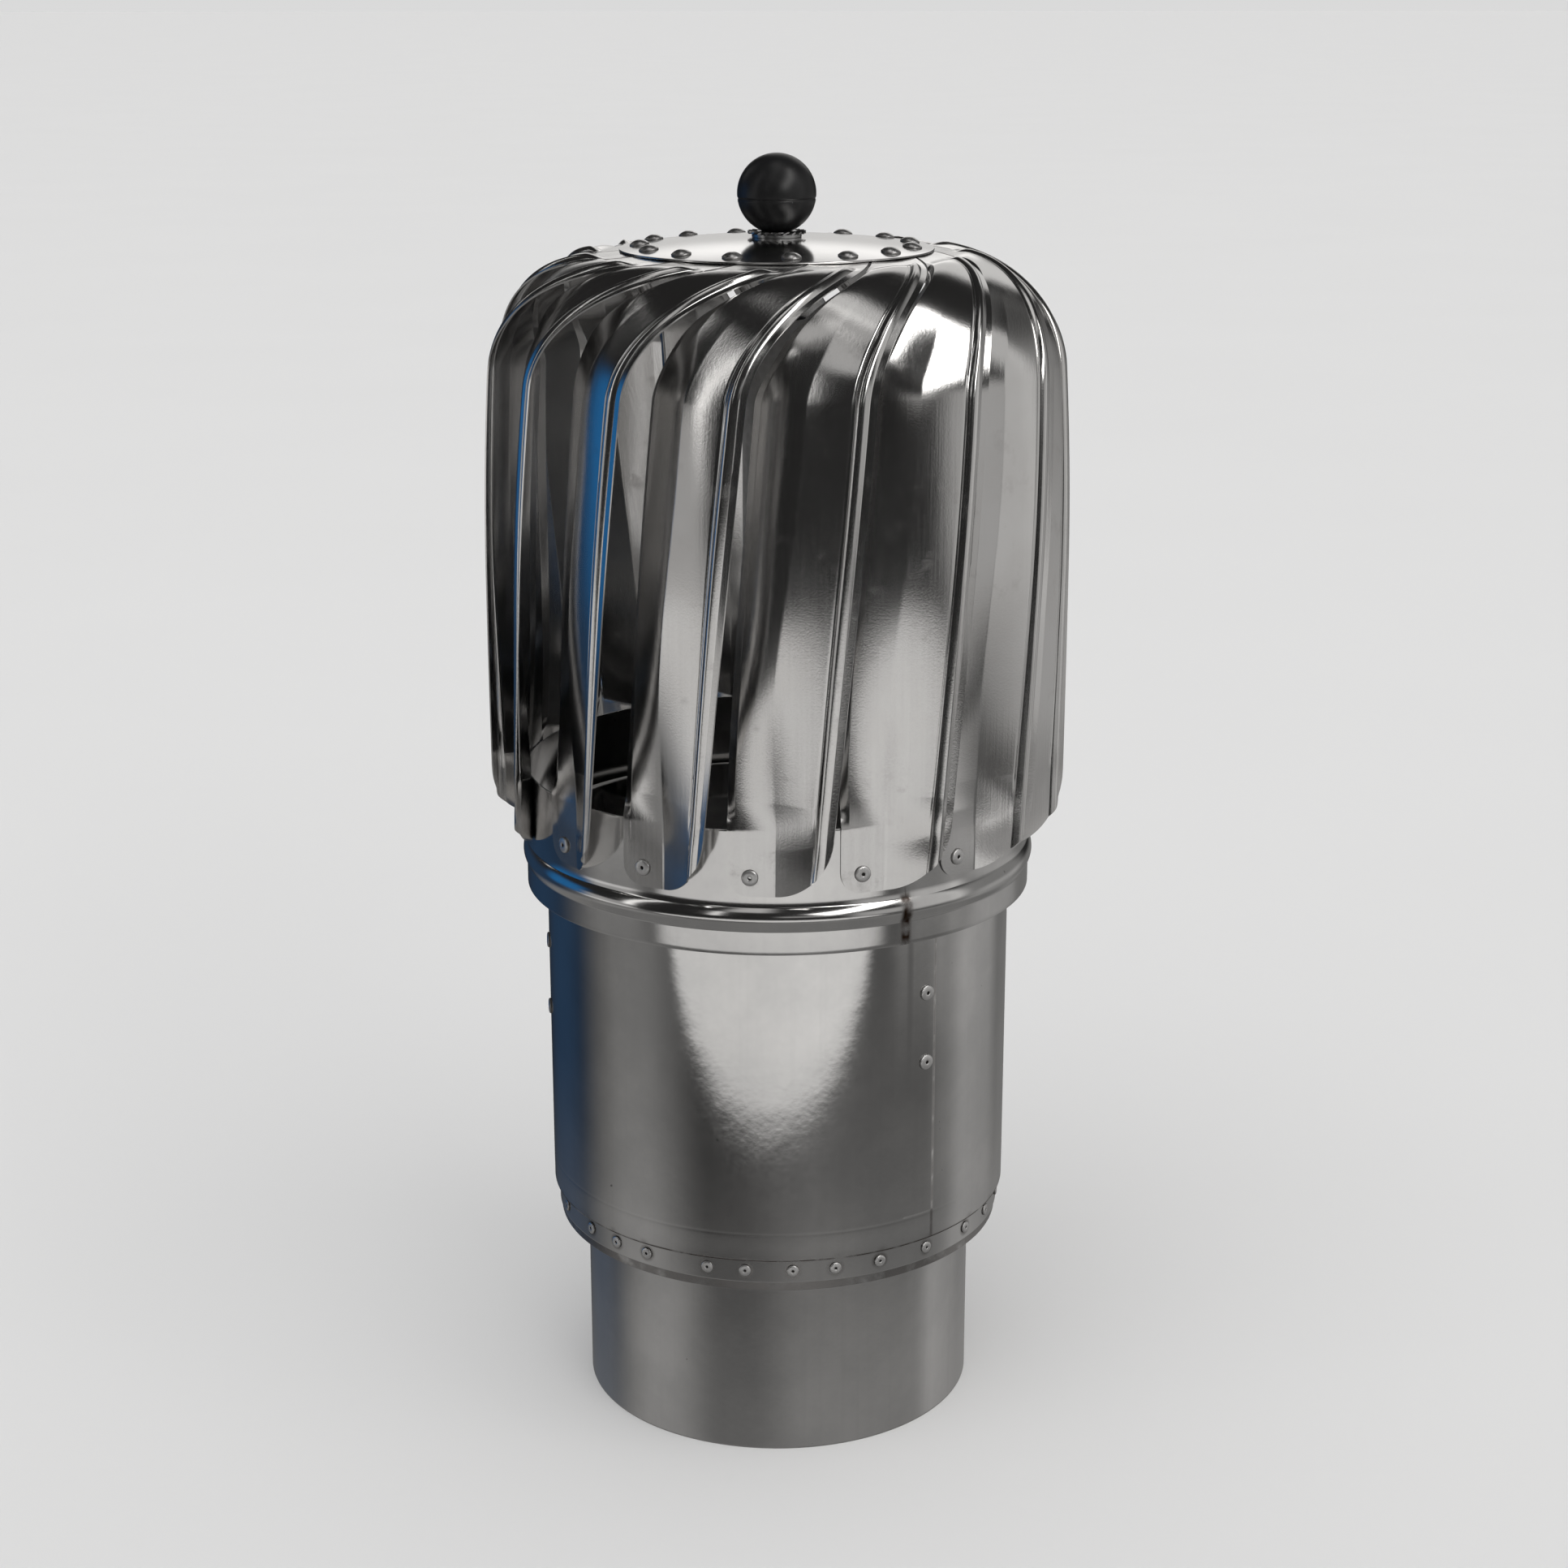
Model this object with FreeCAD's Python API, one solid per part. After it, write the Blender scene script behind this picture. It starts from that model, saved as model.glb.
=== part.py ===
"""Rotating ventilator cowl: a vaned rotor that spins in the wind on top of a 200 mm flue spigot.

Millimetres, +Z up. The origin is the centre of the spigot's bottom rim, and the Z axis is the
axis that the rotor turns about. Angles are degrees from the front (-Y) towards +X.
"""
import FreeCAD, Part
import math
import os

Vec = FreeCAD.Vector

# ---- driving dimensions -------------------------------------------------------------------
SHEET = 0.8                     # thickness of the rolled body sheets
VANE_SHEET = 0.7                # thickness of the vane blanks
LAP_GAP = 0.05                  # clearance between sheets that lie on each other
SEAT_GAP = 0.02                 # clearance under a head, washer or shoulder
HOLE_GAP = 0.05                 # radial clearance of a rivet or stud in its hole
DRILL_REACH = 6.0               # how far a drill passes either side of its seat

SPIGOT_RADIUS = 100.0           # outside of the spigot, the size of the flue
SPIGOT_HEIGHT = 90.0            # straight length of the spigot
FLARE_RADIUS = 5.0              # rolled radius where the spigot turns out into its flange
RIM_RISE = 29.0                 # height of the upturned rim above the flange
BAND_RISE = 4.5                 # from the flange's underside to the rivet band's bottom
BAND_HEIGHT = 25.5
SHELL_RADIUS = 117.5            # outside of the outer shell
SHELL_HEIGHT = 188.0
SHELL_COVER = 13.0              # how far the shell's neck covers the rivet band
NECK_STEP = 1.75                # how far the shell's neck is drawn in
NECK_RISE = 3.0                 # from the band's top to where the shell has its full radius
NECK_OVERLAP = 1.0              # how far below the band's top the neck starts to open
LAP_ANGLE = 41.0                # direction of the shell's lap seam
LAP_WIDTH = 12.0
LAP_RISE = 0.4                  # how far the lapped edge stands proud

BAND_RIVET_ANGLES = [-180, -166, -153, -141, -127, -114.5, -101, -86, -70, -54.6, -44, -33.9, -17,
                     -7.5, 4.2, 14.8, 26.5, 40.5, 56, 68, 81, 94, 106.5, 119, 131, 144, 155.5, 168]
BAND_RIVET_RISE = 6.5           # from the band's bottom to its rivets
BAND_RIVET_HEAD = 3.1           # radius of a small blind rivet's head
BAND_RIVET_SHANK = 1.6

ARM_COUNT = 3
ARM_RIVET_ANGLE = 38.3
ARM_RIVET_DROPS = [92.8, 56.9]  # from the shell's top down to the rivets of an arm
ARM_HEIGHT = 56.0
ARM_THICKNESS = 2.0
ARM_GAP = 0.15                  # between the arm's flange and the shell
ARM_FLANGE_ANGLE = 11.0         # how far the arm's flange runs round the shell

BEARING_OUTER = 14.0            # light 12 x 28 x 8 ball bearing
BEARING_INNER = 6.0
BEARING_WIDTH = 8.0
BEARING_FIT = 0.01
BEARING_INSET = 4.0             # from the housing's end to the bearing
HOUSING_WALL = 3.0              # wall around a bearing
HOUSING_STEP = 1.5              # step of the bore that the bearings stand on
HOUSING_BELOW_ARM = 7.15        # how far the housing runs down past the arms
HOUSING_BELOW_CROWN = 37.67     # from the crown of the vanes down to the housing's top
RACE_SPACE = 3.4                # between the two races, where the cage runs
BALL_RADIUS = 2.38
BALL_COUNT = 8
BALL_GAP = 0.06
CAGE_WALL = 1.5
CAGE_HEIGHT = 6.0
CIRCLIP_THICKNESS = 1.2
CIRCLIP_DEPTH = 0.7
CIRCLIP_WIDTH = 2.6
CIRCLIP_OPENING = 50.0
CIRCLIP_GAP = 0.1

SHAFT_FIT = 0.01                # radial clearance of the shaft in the bearings
SHAFT_NECK = 1.5                # how far the neck on the upper inner race stands proud of the shaft
SHAFT_COLLAR = 3.0              # how far the collar under the hub plate stands proud
NECK_CLEARANCE = 1.0            # from the housing's top to where the shaft's collar starts
COLLAR_TAPER = 2.0
COLLAR_GAP = 0.12               # under the crowned hub plate, which meets the collar at its rim
SHAFT_TAIL = 3.2                # how far the shaft runs past the lower bearing
SHAFT_GROOVE = 0.3
STUD_RADIUS = 4.0
STUD_CHAMFER = 1.0
STUD_ENGAGE = 20.0              # how far the stud screws into the knob
CAP_THICKNESS = 1.5

RING_RUNNING_GAP = 9.1          # from the fixed shell out to the rotor's base ring, outside to outside
RING_HEIGHT = 60.9              # from the skirt's bottom to the ring's top
SKIRT_COVER = 25.7              # how far the skirt covers the shell's top
SKIRT_HEIGHT = 12.2
SKIRT_STEP = 0.8                # how much wider the skirt is than the ring
BEAD_WIDTH = 11.4
BEAD_HEIGHT = 2.6

VANE_COUNT = 15
VANE_RIVET_ANGLE = -5.2         # direction of the first vane's lower rivet
VANE_RIVET_DROP = 22.7          # from the ring's top down to the vane rivets
VANE_RIVET_HEAD = 4.0
VANE_RIVET_SHANK = 2.0
VANE_EDGE_DROP = 9.3            # from a vane rivet down to the vane's lower edge
VANE_STAND = 17.2               # how far the vanes' outer edges stand out from the ring
TAB_LEFT = 10.7                 # the lower tab, either side of its rivet
TAB_RIGHT = 11.5
TAB_CORNER = 10.0
TAIL_CORNER = 31.0              # large rounding of the vane's lower outer corner
FOOT_HEIGHT = 46.0              # height over which the foot's outline is shaped
WALL_HEIGHT = 129.8             # upright part of the outer edge, above the vane's lower edge
TAPER_RADIUS = 1787.0
TAPER_TURN = 3.2
SHOULDER_RADIUS = 57.0
CROWN_RADIUS = 556.6            # spherical radius of the vane tops under the disc
CROWN_END = 60.0                # radius where the vanes end under the disc
LEAN_START = 14.9               # outer edge, in degrees past the rivet, at the vane's foot
LEAN_RATE = 0.0404              # degrees per millimetre along the wall
SWEEP_GROWTH = 0.009
SWEEP_CAP = 0.60                # largest sweep, in degrees per millimetre
VANE_SPAN_FOOT = 21.2           # degrees from the inner to the outer edge
VANE_SPAN_WALL = 23.4
VANE_SPAN_TOP = 22.6
VANE_INSET = 23.3               # how far the inner edge lies inside the outer one
INSET_REACH = 55.0              # height over which the inset opens above the ring
PANEL_BULGE = 2.0
FOLD_RISE = 164.8               # height above the ring where the fold above the tab has died out
FOLD_END_SHARE = 0.45           # where the fold ends, as a share of the vane's width
FLATTEN_REACH = 8.0             # length over which a vane's forming flattens out onto the crown
LIP_START = 12.0                # height over which the inner lip starts above the ring
BEAD_FROM_EDGE = 6.4
VANE_BEAD_WIDTH = 3.0
VANE_BEAD_HEIGHT = 1.7
LIP_WIDTH = 4.0
LIP_DROP = 1.6
# share of the vane's width at each of its long edges, from the inner lip to the outer one
VANE_COLUMNS = [0, 0.025, 0.075, 0.18, 0.30, 0.43, 0.53, 0.63, 0.73, 0.83, 0.865, 0.9, 0.935, 0.97, 1]

DISC_RADIUS = 75.9
DISC_GAP = 0.15                 # between the crown of the vanes and the plates round them
HUB_PLATE_INSET = 2.4           # how much smaller the hub plate is than the disc
HUB_PLATE_SHEET = 1.5
HUB_PLATE_GAP = 0.35
DISC_RIVET_INSET = 9.9          # from the disc's edge in to its rivets
DISC_RIVET_FROM_EDGE = 9.8994   # degrees from a vane's outer edge back to its upper rivet
DISC_RIVET_HEAD = 4.75
DISC_RIVET_SHANK = 2.4
SPACER_WALL = 7.0               # the spacer, washer and lock washer, outwards from the stud
WASHER_WALL = 8.0
WASHER_THICKNESS = 1.4
LOCK_WALL = 6.5
LOCK_TOOTH = 3.5                # how far a lock washer's teeth stand out
LOCK_THICKNESS = 0.9
LOCK_TEETH = 20
LOCK_TWIST = 22.0
TOOTH_WIDTH = 2.2
TOOTH_THICKNESS = 0.7
TOOTH_ROOT = 0.8                # how far a tooth is rooted in the washer's body
KNOB_RADIUS = 19.0
KNOB_BASE_RADIUS = 7.0

DIAGONAL = math.sqrt(0.5)       # middle of a quarter round, as a share of its radius

# ---- derived radii ------------------------------------------------------------------------
PITCH = 360.0 / VANE_COUNT
NECK_RADIUS = SHELL_RADIUS - NECK_STEP
BAND_RADIUS = NECK_RADIUS - SHEET - LAP_GAP
RIM_RADIUS = BAND_RADIUS - SHEET - LAP_GAP
ARM_OUTER = SHELL_RADIUS - SHEET - ARM_GAP
RING_RADIUS = SHELL_RADIUS + RING_RUNNING_GAP
SKIRT_RADIUS = RING_RADIUS + SKIRT_STEP
VANE_RADIUS = RING_RADIUS + VANE_STAND
TAB_LEVEL = RING_RADIUS + LAP_GAP + VANE_SHEET / 2
FOOT_ANGLE = math.degrees(math.atan2(-TAB_LEFT, TAB_LEVEL))
HOUSING_RADIUS = BEARING_OUTER + HOUSING_WALL
HOUSING_BORE = BEARING_OUTER - HOUSING_STEP
SHAFT_RADIUS = BEARING_INNER
BALL_CIRCLE = (BEARING_OUTER + BEARING_INNER) / 2
RACE_WALL = (BEARING_OUTER - BEARING_INNER - RACE_SPACE) / 2
DISC_RIVET_CIRCLE = DISC_RADIUS - DISC_RIVET_INSET
HUB_PLATE_RADIUS = DISC_RADIUS - HUB_PLATE_INSET
SPACER_RADIUS = STUD_RADIUS + SPACER_WALL
WASHER_RADIUS = STUD_RADIUS + WASHER_WALL
LOCK_BODY_RADIUS = STUD_RADIUS + LOCK_WALL
LOCK_RADIUS = LOCK_BODY_RADIUS + LOCK_TOOTH

# ---- derived levels -----------------------------------------------------------------------
FLANGE_LEVEL = SPIGOT_HEIGHT + FLARE_RADIUS
RIM_TOP = FLANGE_LEVEL + RIM_RISE
BAND_BOTTOM = FLANGE_LEVEL + BAND_RISE
BAND_TOP = BAND_BOTTOM + BAND_HEIGHT
BAND_RIVET_HEIGHT = BAND_BOTTOM + BAND_RIVET_RISE
SHELL_BOTTOM = BAND_TOP - SHELL_COVER
SHELL_NECK_TOP = BAND_TOP + NECK_RISE
SHELL_TOP = SHELL_BOTTOM + SHELL_HEIGHT
ARM_RIVET_HEIGHTS = [SHELL_TOP - drop for drop in ARM_RIVET_DROPS]
ARM_BOTTOM = sum(ARM_RIVET_HEIGHTS) / 2 - ARM_HEIGHT / 2
SKIRT_BOTTOM = SHELL_TOP - SKIRT_COVER
BEAD_BOTTOM = SKIRT_BOTTOM + SKIRT_HEIGHT
BEAD_TOP = BEAD_BOTTOM + BEAD_WIDTH
RING_TOP = SKIRT_BOTTOM + RING_HEIGHT
VANE_RIVET_HEIGHT = RING_TOP - VANE_RIVET_DROP
VANE_BOTTOM = VANE_RIVET_HEIGHT - VANE_EDGE_DROP
TAPER_START = VANE_BOTTOM + WALL_HEIGHT
FOLD_TOP = RING_TOP + FOLD_RISE
HOUSING_BOTTOM = ARM_BOTTOM - HOUSING_BELOW_ARM
LOWER_BEARING = HOUSING_BOTTOM + BEARING_INSET


def unit(angle):
    """Unit vector that points out from the axis at an angle from the front."""
    return Vec(math.sin(math.radians(angle)), -math.cos(math.radians(angle)), 0)


def polar(radius, angle, height):
    """Point at a radius, an angle from the front, and a height."""
    return unit(angle) * radius + Vec(0, 0, height)


def turned(shape, angle):
    """Copy of a shape turned about the rotor's axis."""
    copy = shape.copy()
    copy.rotate(Vec(0, 0, 0), Vec(0, 0, 1), angle)
    return copy


def revolved(edges):
    """Solid of revolution about Z from a closed chain of edges in the XZ plane."""
    face = Part.Face(Part.Wire(edges))
    return face.revolve(Vec(0, 0, 0), Vec(0, 0, 1), 360)


def lathe(points):
    """Solid of revolution from the corners (radius, height) of a straight-sided outline."""
    corners = [Vec(r, 0, z) for r, z in points]
    return revolved(Part.makePolygon(corners + corners[:1]).Edges)


def ring(inner, outer, bottom, top):
    return lathe([(inner, bottom), (outer, bottom), (outer, top), (inner, top)])


def save(name, shape):
    shape.exportStep("parts/%s.step" % name)


# ---- rivets -------------------------------------------------------------------------------
def blind_rivet(head, shank, grip):
    """Blind rivet along +Z: its head's seat at z = 0, its set tail below the grip."""
    crown = head * 0.32
    brim = head * 0.1
    mandrel = shank * 0.42
    dome = Part.Arc(Vec(head, 0, brim), Vec(head * 0.86, 0, crown * 0.72), Vec(mandrel * 1.6, 0, crown))
    outline = [
        Part.LineSegment(Vec(head, 0, SEAT_GAP), Vec(head, 0, brim)),
        dome,
        Part.LineSegment(Vec(mandrel * 1.6, 0, crown), Vec(mandrel, 0, crown)),
        Part.LineSegment(Vec(mandrel, 0, crown), Vec(mandrel, 0, -grip)),
        Part.LineSegment(Vec(mandrel, 0, -grip), Vec(0, 0, -grip)),
        Part.LineSegment(Vec(0, 0, -grip), Vec(0, 0, -grip - shank * 1.4)),
        Part.LineSegment(Vec(0, 0, -grip - shank * 1.4), Vec(shank * 1.5, 0, -grip - shank * 1.2)),
        Part.LineSegment(Vec(shank * 1.5, 0, -grip - shank * 1.2), Vec(shank * 1.5, 0, -grip)),
        Part.LineSegment(Vec(shank * 1.5, 0, -grip), Vec(shank, 0, -grip)),
        Part.LineSegment(Vec(shank, 0, -grip), Vec(shank, 0, SEAT_GAP)),
        Part.LineSegment(Vec(shank, 0, SEAT_GAP), Vec(head, 0, SEAT_GAP)),
    ]
    return revolved([line.toShape() for line in outline])


def dome_rivet(head, shank, grip):
    """Solid dome-head rivet along +Z, peened flat below the grip."""
    crown = head * 0.55
    brim = SEAT_GAP + head * 0.1
    rise = crown - brim
    sphere = (head ** 2 + rise ** 2) / (2 * rise)
    half = math.asin(head / sphere) / 2
    shoulder = Vec(sphere * math.sin(half), 0, crown - sphere * (1 - math.cos(half)))
    tail = shank * 1.5
    outline = [
        Part.LineSegment(Vec(head, 0, SEAT_GAP), Vec(head, 0, brim)),
        Part.Arc(Vec(head, 0, brim), shoulder, Vec(0, 0, crown)),
        Part.LineSegment(Vec(0, 0, crown), Vec(0, 0, -grip - shank * 0.7)),
        Part.LineSegment(Vec(0, 0, -grip - shank * 0.7), Vec(tail, 0, -grip - shank * 0.7)),
        Part.LineSegment(Vec(tail, 0, -grip - shank * 0.7), Vec(tail, 0, -grip)),
        Part.LineSegment(Vec(tail, 0, -grip), Vec(shank, 0, -grip)),
        Part.LineSegment(Vec(shank, 0, -grip), Vec(shank, 0, SEAT_GAP)),
        Part.LineSegment(Vec(shank, 0, SEAT_GAP), Vec(head, 0, SEAT_GAP)),
    ]
    return revolved([line.toShape() for line in outline])


def radial_placement(radius, angle, height):
    """Placement that stands a shape's +Z axis outwards at a place on the body's side."""
    turn = FreeCAD.Rotation(Vec(0, 0, 1), unit(angle))
    return FreeCAD.Placement(polar(radius, angle, height), turn)


def placed(shape, placement):
    copy = shape.copy()
    copy.Placement = placement
    return copy


def radial_hole(hole, radius, angle, height):
    """Drill that reaches equally in and out from a radius."""
    place = radial_placement(radius - DRILL_REACH, angle, height)
    return placed(Part.makeCylinder(hole, 2 * DRILL_REACH), place)


# ---- fixed body ---------------------------------------------------------------------------
def band_rivet_holes():
    return [radial_hole(BAND_RIVET_SHANK + HOLE_GAP, BAND_RADIUS, angle, BAND_RIVET_HEIGHT)
            for angle in BAND_RIVET_ANGLES]


def arm_rivet_holes():
    return [radial_hole(VANE_RIVET_SHANK + HOLE_GAP, SHELL_RADIUS, ARM_RIVET_ANGLE + 360.0 / ARM_COUNT * i, z)
            for i in range(ARM_COUNT) for z in ARM_RIVET_HEIGHTS]


def spigot_tube():
    """Spigot whose top rolls out into a flat flange and an upturned rim."""
    flare = FLARE_RADIUS
    step = FLANGE_LEVEL
    inner = SPIGOT_RADIUS - SHEET
    bend_out = Part.Arc(Vec(SPIGOT_RADIUS, 0, SPIGOT_HEIGHT),
                        Vec(SPIGOT_RADIUS + flare * (1 - DIAGONAL), 0, SPIGOT_HEIGHT + flare * DIAGONAL),
                        Vec(SPIGOT_RADIUS + flare, 0, step))
    wide = flare + SHEET
    bend_in = Part.Arc(Vec(inner + wide, 0, step + SHEET),
                       Vec(inner + wide * (1 - DIAGONAL), 0, SPIGOT_HEIGHT + wide * DIAGONAL),
                       Vec(inner, 0, SPIGOT_HEIGHT))
    outline = [
        Part.LineSegment(Vec(inner, 0, 0), Vec(SPIGOT_RADIUS, 0, 0)),
        Part.LineSegment(Vec(SPIGOT_RADIUS, 0, 0), Vec(SPIGOT_RADIUS, 0, SPIGOT_HEIGHT)),
        bend_out,
        Part.LineSegment(Vec(SPIGOT_RADIUS + flare, 0, step), Vec(RIM_RADIUS, 0, step)),
        Part.LineSegment(Vec(RIM_RADIUS, 0, step), Vec(RIM_RADIUS, 0, RIM_TOP)),
        Part.LineSegment(Vec(RIM_RADIUS, 0, RIM_TOP), Vec(RIM_RADIUS - SHEET, 0, RIM_TOP)),
        Part.LineSegment(Vec(RIM_RADIUS - SHEET, 0, RIM_TOP), Vec(RIM_RADIUS - SHEET, 0, step + SHEET)),
        Part.LineSegment(Vec(RIM_RADIUS - SHEET, 0, step + SHEET), Vec(inner + wide, 0, step + SHEET)),
        bend_in,
        Part.LineSegment(Vec(inner, 0, SPIGOT_HEIGHT), Vec(inner, 0, 0)),
    ]
    return revolved([line.toShape() for line in outline]).cut(band_rivet_holes())


def rivet_band():
    band = ring(BAND_RADIUS - SHEET, BAND_RADIUS, BAND_BOTTOM, BAND_TOP)
    return band.cut(band_rivet_holes())


def outer_shell():
    """Shell with a drawn-in neck over the band and a lap seam down one side."""
    neck_end = BAND_TOP - NECK_OVERLAP
    shell = lathe([
        (NECK_RADIUS - SHEET, SHELL_BOTTOM), (NECK_RADIUS, SHELL_BOTTOM), (NECK_RADIUS, neck_end),
        (SHELL_RADIUS, SHELL_NECK_TOP), (SHELL_RADIUS, SHELL_TOP), (SHELL_RADIUS - SHEET, SHELL_TOP),
        (SHELL_RADIUS - SHEET, SHELL_NECK_TOP), (NECK_RADIUS - SHEET, neck_end),
    ])
    lap_arc = math.degrees(LAP_WIDTH / SHELL_RADIUS)
    lap = Part.makeCylinder(SHELL_RADIUS + LAP_RISE, SHELL_TOP - SHELL_NECK_TOP, Vec(0, 0, SHELL_NECK_TOP),
                            Vec(0, 0, 1), lap_arc)
    lap = lap.cut(Part.makeCylinder(SHELL_RADIUS - SHEET / 2, SHELL_TOP, Vec(0, 0, 0)))
    lap = turned(lap, LAP_ANGLE - 90.0 - lap_arc)
    return shell.fuse(lap).cut(arm_rivet_holes())


def bracket_arm(index):
    """Upright web from the bearing housing to the shell, with a curved flange to rivet."""
    rivet = ARM_RIVET_ANGLE + 360.0 / ARM_COUNT * index
    web_angle = rivet - ARM_FLANGE_ANGLE / 2
    reach = ARM_OUTER - HOUSING_RADIUS - LAP_GAP
    corner = Vec(HOUSING_RADIUS + LAP_GAP, -ARM_THICKNESS / 2, ARM_BOTTOM)
    web = Part.makeBox(reach, ARM_THICKNESS, ARM_HEIGHT, corner)
    flange = Part.makeCylinder(ARM_OUTER, ARM_HEIGHT, Vec(0, 0, ARM_BOTTOM), Vec(0, 0, 1), ARM_FLANGE_ANGLE)
    flange = flange.cut(Part.makeCylinder(ARM_OUTER - ARM_THICKNESS, ARM_HEIGHT, Vec(0, 0, ARM_BOTTOM)))
    arm = web.common(Part.makeCylinder(ARM_OUTER, ARM_HEIGHT, Vec(0, 0, ARM_BOTTOM))).fuse(flange)
    arm = arm.cut(Part.makeCylinder(HOUSING_RADIUS + LAP_GAP, ARM_HEIGHT, Vec(0, 0, ARM_BOTTOM)))
    arm = turned(arm, web_angle - 90.0).removeSplitter()
    return arm.cut(arm_rivet_holes())


def bearing_housing():
    """Long tube with a bearing seat and a circlip groove at each end."""
    seat = BEARING_OUTER + BEARING_FIT
    groove = BEARING_OUTER + CIRCLIP_DEPTH
    low_seat = LOWER_BEARING + BEARING_WIDTH
    high_groove = UPPER_BEARING + BEARING_WIDTH
    clip = CIRCLIP_THICKNESS + CIRCLIP_GAP
    return lathe([
        (seat, HOUSING_BOTTOM), (HOUSING_RADIUS, HOUSING_BOTTOM),
        (HOUSING_RADIUS, HOUSING_TOP), (seat, HOUSING_TOP),
        (seat, high_groove + clip), (groove, high_groove + clip), (groove, high_groove), (seat, high_groove),
        (seat, UPPER_BEARING), (HOUSING_BORE, UPPER_BEARING), (HOUSING_BORE, low_seat), (seat, low_seat),
        (seat, LOWER_BEARING), (groove, LOWER_BEARING),
        (groove, LOWER_BEARING - clip), (seat, LOWER_BEARING - clip),
    ])


def circlip_mouth(reach, bottom):
    """Wedge that opens a circlip on one side; it runs 1 mm past the clip all round."""
    return Part.makeCylinder(reach + 1, CIRCLIP_THICKNESS + 2, Vec(0, 0, bottom - 1), Vec(0, 0, 1),
                             CIRCLIP_OPENING)


def circlip(bottom):
    """Internal circlip: an open ring that sits in the housing's groove."""
    clip_outer = BEARING_OUTER + CIRCLIP_DEPTH - HOLE_GAP
    inner = clip_outer - CIRCLIP_WIDTH
    clip = ring(inner, clip_outer, bottom, bottom + CIRCLIP_THICKNESS)
    return clip.cut(circlip_mouth(clip_outer, bottom))


def shaft_circlip():
    """External circlip that keeps the rotor from lifting off."""
    inner = SHAFT_RADIUS - SHAFT_GROOVE + HOLE_GAP
    bottom = LOWER_BEARING - CIRCLIP_THICKNESS - CIRCLIP_GAP / 2
    clip = ring(inner, inner + CIRCLIP_WIDTH, bottom, bottom + CIRCLIP_THICKNESS)
    return clip.cut(circlip_mouth(inner + CIRCLIP_WIDTH, bottom))


def outer_race(bottom):
    top = bottom + BEARING_WIDTH - SEAT_GAP
    race = ring(BEARING_OUTER - RACE_WALL, BEARING_OUTER, bottom + SEAT_GAP, top)
    groove = Part.makeTorus(BALL_CIRCLE, BALL_RADIUS + BALL_GAP, Vec(0, 0, bottom + BEARING_WIDTH / 2))
    return race.cut(groove)


def inner_race(bottom):
    top = bottom + BEARING_WIDTH - SEAT_GAP
    race = ring(BEARING_INNER, BEARING_INNER + RACE_WALL, bottom + SEAT_GAP, top)
    groove = Part.makeTorus(BALL_CIRCLE, BALL_RADIUS + BALL_GAP, Vec(0, 0, bottom + BEARING_WIDTH / 2))
    return race.cut(groove)


def bearing_balls(bottom):
    middle = bottom + BEARING_WIDTH / 2
    return Part.makeCompound([Part.makeSphere(BALL_RADIUS, polar(BALL_CIRCLE, 360.0 / BALL_COUNT * i, middle))
                              for i in range(BALL_COUNT)])


def ball_cage(bottom):
    """Thin ring with a round window for each ball."""
    middle = bottom + BEARING_WIDTH / 2
    cage = ring(BALL_CIRCLE - CAGE_WALL / 2, BALL_CIRCLE + CAGE_WALL / 2, middle - CAGE_HEIGHT / 2,
                middle + CAGE_HEIGHT / 2)
    pockets = [radial_hole(BALL_RADIUS + BALL_GAP, BALL_CIRCLE, 360.0 / BALL_COUNT * i, middle)
               for i in range(BALL_COUNT)]
    return cage.cut(pockets)


def housing_cap():
    """Pressed cap that closes the housing's lower end."""
    skirt = HOUSING_BOTTOM + 6.0
    outer = HOUSING_RADIUS + LAP_GAP + CAP_THICKNESS
    under = HOUSING_BOTTOM - LAP_GAP
    return lathe([(0, under - CAP_THICKNESS), (outer, under - CAP_THICKNESS), (outer, skirt),
                  (HOUSING_RADIUS + LAP_GAP, skirt), (HOUSING_RADIUS + LAP_GAP, under), (0, under)])


# ---- vanes --------------------------------------------------------------------------------
def smooth(value):
    """Smooth step from 0 to 1."""
    value = min(max(value, 0.0), 1.0)
    return value * value * (3 - 2 * value)


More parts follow.
